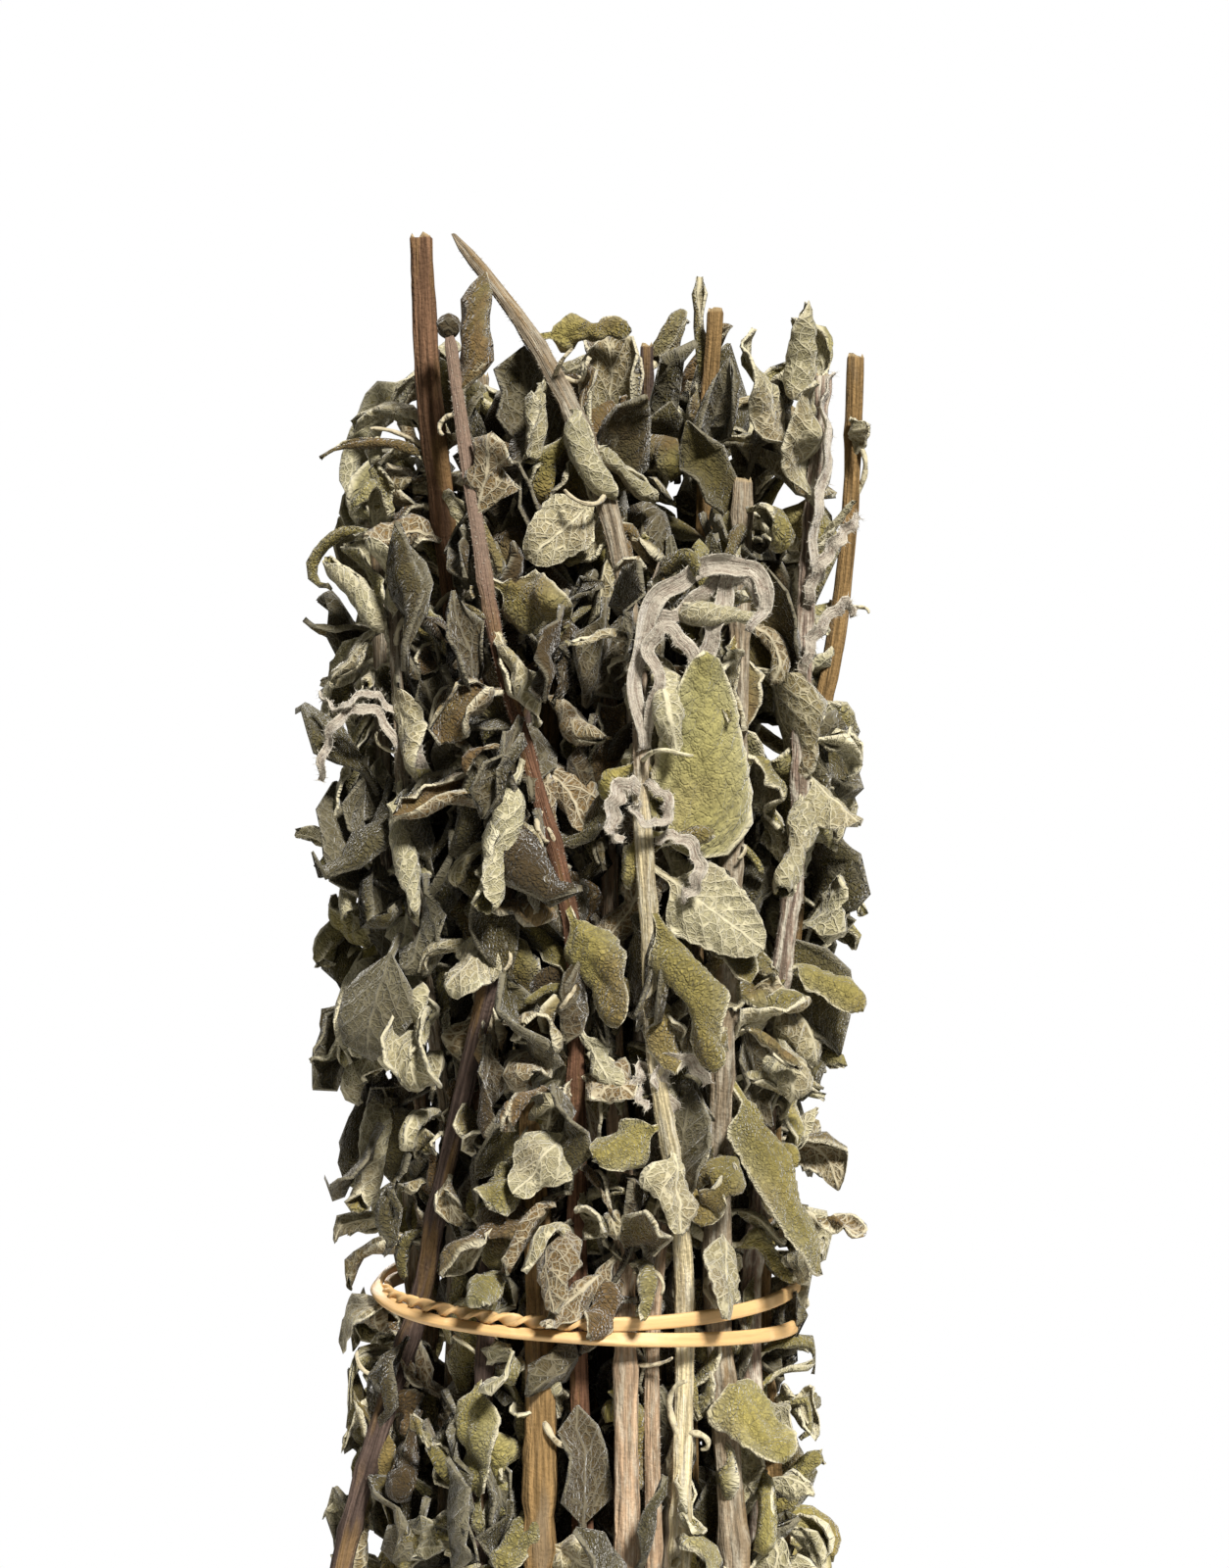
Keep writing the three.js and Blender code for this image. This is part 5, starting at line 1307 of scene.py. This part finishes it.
class SageStemSettings(bpy.types.PropertyGroup):
    """Sizes and colours of the stems."""

    hair_count: IntProperty(name="Hairs", description="Hairs on each woolly stem", default=1000, min=0)
    knots: FloatProperty(name="Knots", description="How far a stem swells where leaves grow, over its radius",
                         default=0.22, min=0, max=1)
    ochre: FloatVectorProperty(name="Ochre bark", description="Bark of the bare ochre stems", subtype="COLOR",
                               default=linear("84683e"), min=0, max=1)
    purple: FloatVectorProperty(name="Purple bark", description="Bark of the dark purple brown stems",
                                subtype="COLOR", default=linear("493931"), min=0, max=1)
    red: FloatVectorProperty(name="Red bark", description="Bark of the reddish stem", subtype="COLOR",
                             default=linear("6a4c34"), min=0, max=1)
    rosy: FloatVectorProperty(name="Rosy bark", description="Bark of the reddish stem with the bud",
                              subtype="COLOR", default=linear("66452f"), min=0, max=1)
    pink: FloatVectorProperty(name="Pinkish bark", description="Bark of the pinkish beige stems", subtype="COLOR",
                              default=linear("a48a6f"), min=0, max=1)
    grey: FloatVectorProperty(name="Grey bark", description="Bark of the grey brown stems", subtype="COLOR",
                              default=linear("83745f"), min=0, max=1)
    mauve: FloatVectorProperty(name="Mauve bark", description="Bark of the upper pale stems", subtype="COLOR",
                               default=linear("8a7668"), min=0, max=1)
    woolly: FloatVectorProperty(name="Woolly bark", description="Bark under pale wool", subtype="COLOR",
                                default=linear("c2b48f"), min=0, max=1)


FOOT_SHARE = 0.55  # width of the sawn foot's inner ring over the stem's


def wood_shape(stem, index, settings):
    """A square stem with rounded corners. Its level rings have a radius that narrows upwards, stands out
    at the four corners by a cosine of four turns, swells like a bell curve at each knot and wavers with
    height. A cut top ends in a rim round a sunken pith, a grown one in a soft point."""
    draw = np.random.default_rng(700 + index)
    route = smooth_route(stem.route, STEM_STRETCHES if stem.name in BARKS else RING_STRETCHES)
    heights = np.linspace(0, stem.top, int(stem.top / WOOD_STEP) + 1)
    fine = smooth_route(stem.route, 12) if stem.name in BARKS else route
    middle = np.stack([np.interp(heights, fine[:, 2], fine[:, 0]), np.interp(heights, fine[:, 2], fine[:, 1]),
                       heights], -1)
    knots = np.array([leaf["root"][2] for leaf in stem.leaves] + [20.0, 55.0])
    bells = np.exp(-(((heights[:, None] - knots) / 1.7) ** 2)).max(1)
    swell = 1 + settings.knots * bells + 0.05 * np.sin(heights / 9 + index) + 0.03 * np.sin(heights / 3.1 + index)
    radius = stem.radius_at(heights) * swell * between(1, TOP_SWELL.get(stem.name, 1), smooth(150, 240, heights))
    is_pointed = stem.name in POINTED
    if is_pointed:
        radius *= np.sqrt(np.clip((stem.top - heights + 0.4) / POINTED[stem.name], 0, 1))
    turn = ((np.arange(WOOD_SIDES) + 0.5) / WOOD_SIDES) * 2 * math.pi
    corner = 1.05 - 0.12 * np.cos(4 * turn) + 0.03 * np.cos(8 * turn)
    ridge = 0.03 * draw.normal(size=(len(heights), WOOD_SIDES))
    ring = np.stack([np.cos(turn), np.sin(turn), np.zeros(WOOD_SIDES)], -1)
    rings = middle[:, None] + ring * (corner * (1 + ridge) * radius[:, None])[..., None]
    foot = middle[0] + (rings[0] - middle[0]) * FOOT_SHARE
    ends = [np.stack([foot, rings[0]]), rings[1:]]
    cut = [np.ones(WOOD_SIDES), np.ones(WOOD_SIDES)] + [np.zeros(WOOD_SIDES)] * (len(rings) - 1)
    if not is_pointed:
        top = rings[-1] - middle[-1]
        ragged = UP * draw.uniform(-0.6, 0.9, (WOOD_SIDES, 1))
        ends.append(np.stack([middle[-1] + top * 0.8 + ragged + UP * 0.2, middle[-1] + top * 0.3 - UP * 0.7]))
        cut += [np.ones(WOOD_SIDES)] * 2
    else:
        ends.append((middle[-1] + (rings[-1] - middle[-1]) * 0.3 + UP * 0.15)[None])
        cut.append(np.zeros(WOOD_SIDES))
    points = np.concatenate(ends)
    cut = np.concatenate(cut)
    knot = np.concatenate([[0], bells, np.zeros(len(points) - 1 - len(bells))])
    marks = np.stack([np.full(len(cut), (index * 0.37) % 1), cut, np.repeat(knot, WOOD_SIDES),
                      np.zeros(len(cut))], -1)
    round_it = 2.2 * np.abs(turn - math.pi) + 17 * index
    places = np.stack([points[..., 2].ravel(), np.tile(round_it, len(points))], -1)
    return points, tube_faces(len(points), WOOD_SIDES), places, marks


def bark_material(kind, settings):
    """Dried square stem: long streaks of light and dark along it, peeled lighter patches, darker knots,
    fine ridges, and pale fibrous wood on its cut ends."""
    recipe = Recipe("sage_bark_" + kind)
    base = getattr(settings, kind)
    solid = recipe.node("TexCoord").outputs["Object"]
    place = recipe.node("UVMap", uv_map="place").outputs[0]
    marks = recipe.node("Attribute", attribute_name="marks")
    _, cut, knot = recipe.node("SeparateColor", {0: marks.outputs["Color"]}).outputs
    streaks = recipe.noise(recipe.stretched(place, (0.07, 1.5, 1.0)), 1.0, 4.0, 0.6)
    patches = recipe.noise(recipe.stretched(place, (0.045, 0.3, 1.0)), 1.0, 3.0, 0.55)
    dark = tuple(c * 0.25 for c in base)
    light = tuple(min(1, c * 1.7 + 0.03) for c in base)
    colour = recipe.mix(recipe.step(streaks, 0.34, 0.68), dark, light)
    colour = recipe.mix(0.35, colour, tuple(base))
    peeled = recipe.step(patches, 0.52, 0.66, 0.0, 0.6)
    other = tuple(settings.ochre) if kind in ("purple", "red", "rosy", "grey") else tuple(settings.grey)
    colour = recipe.mix(peeled, colour, other)
    colour = recipe.mix(recipe.math("MULTIPLY", knot, 0.35), colour, tuple(c * 0.3 for c in base))
    if kind in MAUVE_FROM:
        height = recipe.node("SeparateXYZ", {0: solid}).outputs[2]
        low = MAUVE_FROM[kind] * MM
        colour = recipe.mix(recipe.step(height, low, low + 0.024, 0.0, 0.85), colour, tuple(settings.mauve))
    if kind in ("woolly", "grey", "pink", "mauve"):
        most = {"woolly": 0.55, "mauve": 0.75}.get(kind, 0.35)
        film = recipe.noise(recipe.stretched(place, (0.16, 0.9, 1.0)), 1.0, 4.0, 0.65)
        fluff = recipe.step(film, 0.44, 0.66, 0.0, most)
        colour = recipe.mix(fluff, colour, linear("d8d3c2"))
    colour = recipe.mix(recipe.math("MULTIPLY", cut, 0.85), colour, linear("b7a27c"))
    ridges = recipe.noise(recipe.stretched(place, (0.12, 2.2, 1.0)), 1.0, 3.0, 0.6)
    grain = recipe.noise(solid, 1500.0, 2.0)
    height = recipe.math("ADD", ridges, recipe.math("MULTIPLY", grain, 0.4))
    recipe.shader.inputs["Specular IOR Level"].default_value = 0.3
    return recipe.finish(colour, 0.8, height, 0.7, 1.0)


class SAGE_OT_stems(bpy.types.Operator):
    """Make the square woody stems"""

    bl_idname = "sage.stems"
    bl_label = "Stems"

    def execute(self, context):
        settings = context.scene.sage_stems
        kinds = ("ochre", "purple", "red", "pink", "grey", "woolly", "mauve", "rosy")
        materials = {kind: bark_material(kind, settings) for kind in kinds}
        down = wool_material(context.scene.sage_leaves)
        for index, stem in enumerate(bunch()[0]):
            shape = Shape()
            wood = wood_shape(stem, index, settings)
            shape.add(*wood)
            if stem.name in WOOLLY_FROM:
                draw = np.random.default_rng(60 + index)
                rings, count = wood[0], settings.hair_count
                upper = np.flatnonzero(rings[:, 0, 2] > WOOLLY_FROM[stem.name])[:-3]
                row, corner = draw.choice(upper, count), draw.integers(0, WOOD_SIDES, count)
                share = draw.random((count, 1))
                roots = rings[row, corner] * (1 - share) + rings[row + 1, corner] * share
                outward = unit(rings[row, corner] - rings[row].mean(1) + 1e-6)
                wool = Shape()
                wool.add(*hairs(roots, outward, 0.55, draw))
                wool.finish(stem.name + "_down", down, "sage_" + stem.tone, [stem.name])
            kind = BARKS.get(stem.name, RING_BARKS[index % len(RING_BARKS)])
            shape.finish(stem.name + "_wood", materials[kind], "sage_" + stem.tone, [stem.name])
        return {"FINISHED"}


# ---- Rubber band --------------------------------------------------------------------------------

BAND_RINGS = 560
BAND_SIDES = 20


class SageBandSettings(bpy.types.PropertyGroup):
    """Sizes and colour of the rubber band."""

    width: FloatProperty(name="Width", description="Width of the flat band", subtype="DISTANCE", unit="LENGTH",
                         default=2.3 * MM)
    thickness: FloatProperty(name="Thickness", description="Thickness of the band", subtype="DISTANCE",
                             unit="LENGTH", default=1.2 * MM)
    twists: IntProperty(name="Half turns", description="Half turns of the band where it is twisted", default=12)
    latex: FloatVectorProperty(name="Latex", description="Colour of the natural latex", subtype="COLOR",
                               default=linear("d8b27c"), min=0, max=1)


def band_shape(settings):
    """The band's loop as a strip: at each point of the centreline an oblong with rounded corners, its
    short side outwards. It is turned about the centreline by whole half turns along the twisted stretch,
    and has a furrow in its long sides there. The two turns lie side by side on the left, and part on the
    right by the eighth power of a cosine."""
    share = np.arange(BAND_RINGS) / BAND_RINGS
    middle = band_point(share)
    part = np.cos(share * 2 * math.pi)
    apart = 0.95 * smooth(0, 0.4, np.abs(part)) + 2.2 * np.abs(part) ** 8
    middle = middle + UP * (np.sign(part) * apart - BAND_SPREAD * part)[:, None]
    outward = unit((middle - [BAND_CENTRE_X, 0, BAND_Z]) * [1, 1, 0])
    middle += outward * (1.5 * (smooth(0.72, 0.78, share) - smooth(0.86, 0.93, share)))[:, None]
    tangent = unit(np.roll(middle, -1, 0) - np.roll(middle, 1, 0))
    outward = unit(outward - tangent * (outward * tangent).sum(1, keepdims=True))
    upward = np.cross(outward, tangent)
    twist = settings.twists * math.pi * np.clip((share - 0.755) / 0.12, 0, 1)[:, None]
    twist += (1.1 * (smooth(0.2, 0.28, share) - smooth(0.36, 0.42, share)))[:, None]
    first = outward * np.cos(twist) + upward * np.sin(twist)
    second = upward * np.cos(twist) - outward * np.sin(twist)
    turn = (np.arange(BAND_SIDES) + 0.5) / BAND_SIDES * 2 * math.pi
    tight = (smooth(0.745, 0.765, share) - smooth(0.87, 0.89, share))[:, None]
    lobed = 1 - 0.55 * tight * (1 - np.abs(np.sin(turn)))
    x = np.sign(np.cos(turn)) * np.abs(np.cos(turn)) ** 0.5 * (settings.thickness / MM + 0.2 * tight) / 2 * lobed
    y = np.sign(np.sin(turn)) * np.abs(np.sin(turn)) ** 0.6 * (settings.width / MM - 0.1 * tight) / 2
    rings = middle[:, None] + first[:, None] * x[..., None] + second[:, None] * y[..., None]
    places = np.stack(np.broadcast_arrays(share[:, None] * 420, np.sin(turn)), -1)
    # Painted shade in the furrow along the twisted stretch, which the band's material darkens.
    painted_groove_shade = tight * (1 - smooth(0, 0.55, np.abs(np.sin(turn))))
    marks = np.stack([painted_groove_shade, 0 * painted_groove_shade, 0 * painted_groove_shade, 0 * painted_groove_shade], -1)
    return rings, tube_faces(BAND_RINGS, BAND_SIDES, is_loop=True), places.reshape(-1, 2), marks.reshape(-1, 4)


def latex_material(settings):
    """Tan natural rubber: faint streaks along the band, dusty patches, painted shade in the furrow of its
    twisted stretch, a soft shine and a little light that passes through."""
    recipe = Recipe("latex_band")
    place = recipe.node("UVMap", uv_map="place").outputs[0]
    streaks = recipe.noise(recipe.stretched(place, (0.12, 3.0, 1.0)), 1.0, 3.0)
    solid = recipe.node("TexCoord").outputs["Object"]
    dust = recipe.noise(solid, 260.0, 3.0)
    base = tuple(settings.latex)
    colour = recipe.mix(recipe.step(streaks, 0.3, 0.7), tuple(c * 0.82 for c in base), base)
    colour = recipe.mix(recipe.step(dust, 0.55, 0.75, 0.0, 0.35), colour, linear("ecd0a4"))
    marks = recipe.node("Attribute", attribute_name="marks")
    furrow = recipe.node("SeparateColor", {0: marks.outputs["Color"]}).outputs[0]
    # Painted shade: the furrow of the twisted stretch is darkened.
    colour = recipe.mix(recipe.math("MULTIPLY", furrow, 0.6), colour, tuple(c * 0.35 for c in base))
    rough = recipe.step(dust, 0.3, 0.7, 0.38, 0.6)
    recipe.shader.inputs["Subsurface Weight"].default_value = 0.12
    recipe.shader.inputs["Subsurface Radius"].default_value = (1.0, 0.6, 0.3)
    recipe.shader.inputs["Subsurface Scale"].default_value = 0.8 * MM
    fine = recipe.noise(recipe.stretched(place, (0.5, 7.0, 1.0)), 1.0, 3.0)
    return recipe.finish(colour, rough, fine, 0.12, 0.5)


class SAGE_OT_band(bpy.types.Operator):
    """Make the doubled rubber band"""

    bl_idname = "sage.band"
    bl_label = "Rubber band"

    def execute(self, context):
        settings = context.scene.sage_band
        shape = Shape()
        rings, faces, places, marks = band_shape(settings)
        shape.add(rings, faces, places, marks)
        shape.finish("rubber_band_strip", latex_material(settings), "rubber_band", ["rubber_band"])
        return {"FINISHED"}


# ---- Stage --------------------------------------------------------------------------------------

FLOOR_SIDES = 96
KEY_SPREAD = 11  # degrees, how soft the shadows are
KEY_COLOUR = (1, 0.965, 0.9)
KEY_TURN = (48, 0, 24)
BACK_SPREAD = 40
BACK_COLOUR = (1, 0.97, 0.9)
BACK_TURN = (-58, 0, 14)
WHITE = (1, 1, 1, 1)
FILL_COLOUR = (1, 0.96, 0.82, 1)
CAMERA_X = 5.9 * MM
CAMERA_LENS = 81.28


class SageStageSettings(bpy.types.PropertyGroup):
    """Light, floor and camera."""

    key: FloatProperty(name="Key light", description="Strength of the soft light from the front right",
                       default=6.7, min=0)
    back: FloatProperty(name="Back light", description="Strength of the broad light from behind", default=2.4,
                        min=0)
    fill: FloatProperty(name="Fill light", description="Strength of the even light from all round", default=0.14)
    floor_radius: FloatProperty(name="Floor", description="Radius of the floor", subtype="DISTANCE",
                                unit="LENGTH", default=200 * MM)
    distance: FloatProperty(name="Camera distance", description="From the camera to the middle of the bunch",
                            subtype="DISTANCE", unit="LENGTH", default=600 * MM)
    height: FloatProperty(name="Camera height", description="Height of the camera over the floor",
                          subtype="DISTANCE", unit="LENGTH", default=178.5 * MM)


class SAGE_OT_stage(bpy.types.Operator):
    """Set up the floor, the light and the camera"""

    bl_idname = "sage.stage"
    bl_label = "Stage"

    def execute(self, context):
        scene, settings = context.scene, context.scene.sage_stage
        scene.view_settings.view_transform = "Standard"
        turn = np.arange(FLOOR_SIDES) / FLOOR_SIDES * 2 * math.pi
        rim = np.stack([np.cos(turn), np.sin(turn), np.zeros(FLOOR_SIDES)], -1) * settings.floor_radius
        mesh = bpy.data.meshes.new("floor")
        mesh.from_pydata(rim.tolist(), [], [list(range(FLOOR_SIDES))])
        recipe = Recipe("pale_floor")
        solid = recipe.node("TexCoord").outputs["Object"]
        grain = recipe.noise(solid, 300.0)
        colour = recipe.mix(grain, linear("f2f1ee"), linear("fbfaf8"))
        mesh.materials.append(recipe.finish(colour, 0.6, grain, 0.05))
        floor = bpy.data.objects.new("floor", mesh)
        scene.collection.objects.link(floor)

        sun = bpy.data.objects.new("key_light", bpy.data.lights.new("key_light", "SUN"))
        sun.data.energy, sun.data.angle = settings.key, math.radians(KEY_SPREAD)
        sun.data.color = KEY_COLOUR
        sun.rotation_euler = [math.radians(angle) for angle in KEY_TURN]
        scene.collection.objects.link(sun)

        back = bpy.data.objects.new("back_light", bpy.data.lights.new("back_light", "SUN"))
        back.data.energy, back.data.angle = settings.back, math.radians(BACK_SPREAD)
        back.data.color = BACK_COLOUR
        back.rotation_euler = [math.radians(angle) for angle in BACK_TURN]
        scene.collection.objects.link(back)

        world = bpy.data.worlds.new("studio")
        scene.world = world
        world.use_nodes = True
        nodes, links = world.node_tree.nodes, world.node_tree.links
        nodes.clear()
        seen, light = nodes.new("ShaderNodeBackground"), nodes.new("ShaderNodeBackground")
        seen.inputs[0].default_value, light.inputs[0].default_value = WHITE, FILL_COLOUR
        light.inputs[1].default_value = settings.fill
        path, mix, output = (nodes.new("ShaderNode" + kind) for kind in ("LightPath", "MixShader", "OutputWorld"))
        links.new(path.outputs["Is Camera Ray"], mix.inputs[0])
        links.new(light.outputs[0], mix.inputs[1])
        links.new(seen.outputs[0], mix.inputs[2])
        links.new(mix.outputs[0], output.inputs[0])

        camera = bpy.data.objects.new("camera", bpy.data.cameras.new("camera"))
        camera.location = (CAMERA_X, -settings.distance, settings.height)
        camera.rotation_euler = (math.radians(90), 0, 0)
        camera.data.lens = CAMERA_LENS
        scene.collection.objects.link(camera)
        scene.camera = camera
        return {"FINISHED"}


class SAGE_PT_panel(bpy.types.Panel):
    """Lists the sage bunch's sizes, colours and operators"""

    bl_idname = "SAGE_PT_panel"
    bl_label = "Sage bunch"
    bl_space_type = "VIEW_3D"
    bl_region_type = "UI"
    bl_category = "Sage bunch"

    def draw(self, context):
        for name, settings in SETTINGS.items():
            box = self.layout.box()
            box.operator("sage." + name)
            for key in settings.__annotations__:
                box.prop(getattr(context.scene, "sage_" + name), key)


SETTINGS = {"stems": SageStemSettings, "leaves": SageLeafSettings, "band": SageBandSettings,
            "stage": SageStageSettings}
CLASSES = (*SETTINGS.values(), SAGE_OT_stems, SAGE_OT_leaves, SAGE_OT_band, SAGE_OT_stage, SAGE_PT_panel)


def register():
    for item in CLASSES:
        bpy.utils.register_class(item)
    for name, settings in SETTINGS.items():
        setattr(bpy.types.Scene, "sage_" + name, PointerProperty(type=settings))


def unregister():
    for name in SETTINGS:
        delattr(bpy.types.Scene, "sage_" + name)
    for item in reversed(CLASSES):
        bpy.utils.unregister_class(item)


def main():
    """Makes every piece in order."""
    register()
    for name in ("stage", "stems", "leaves", "band"):
        getattr(bpy.ops.sage, name)()


if __name__ == "__main__":
    main()
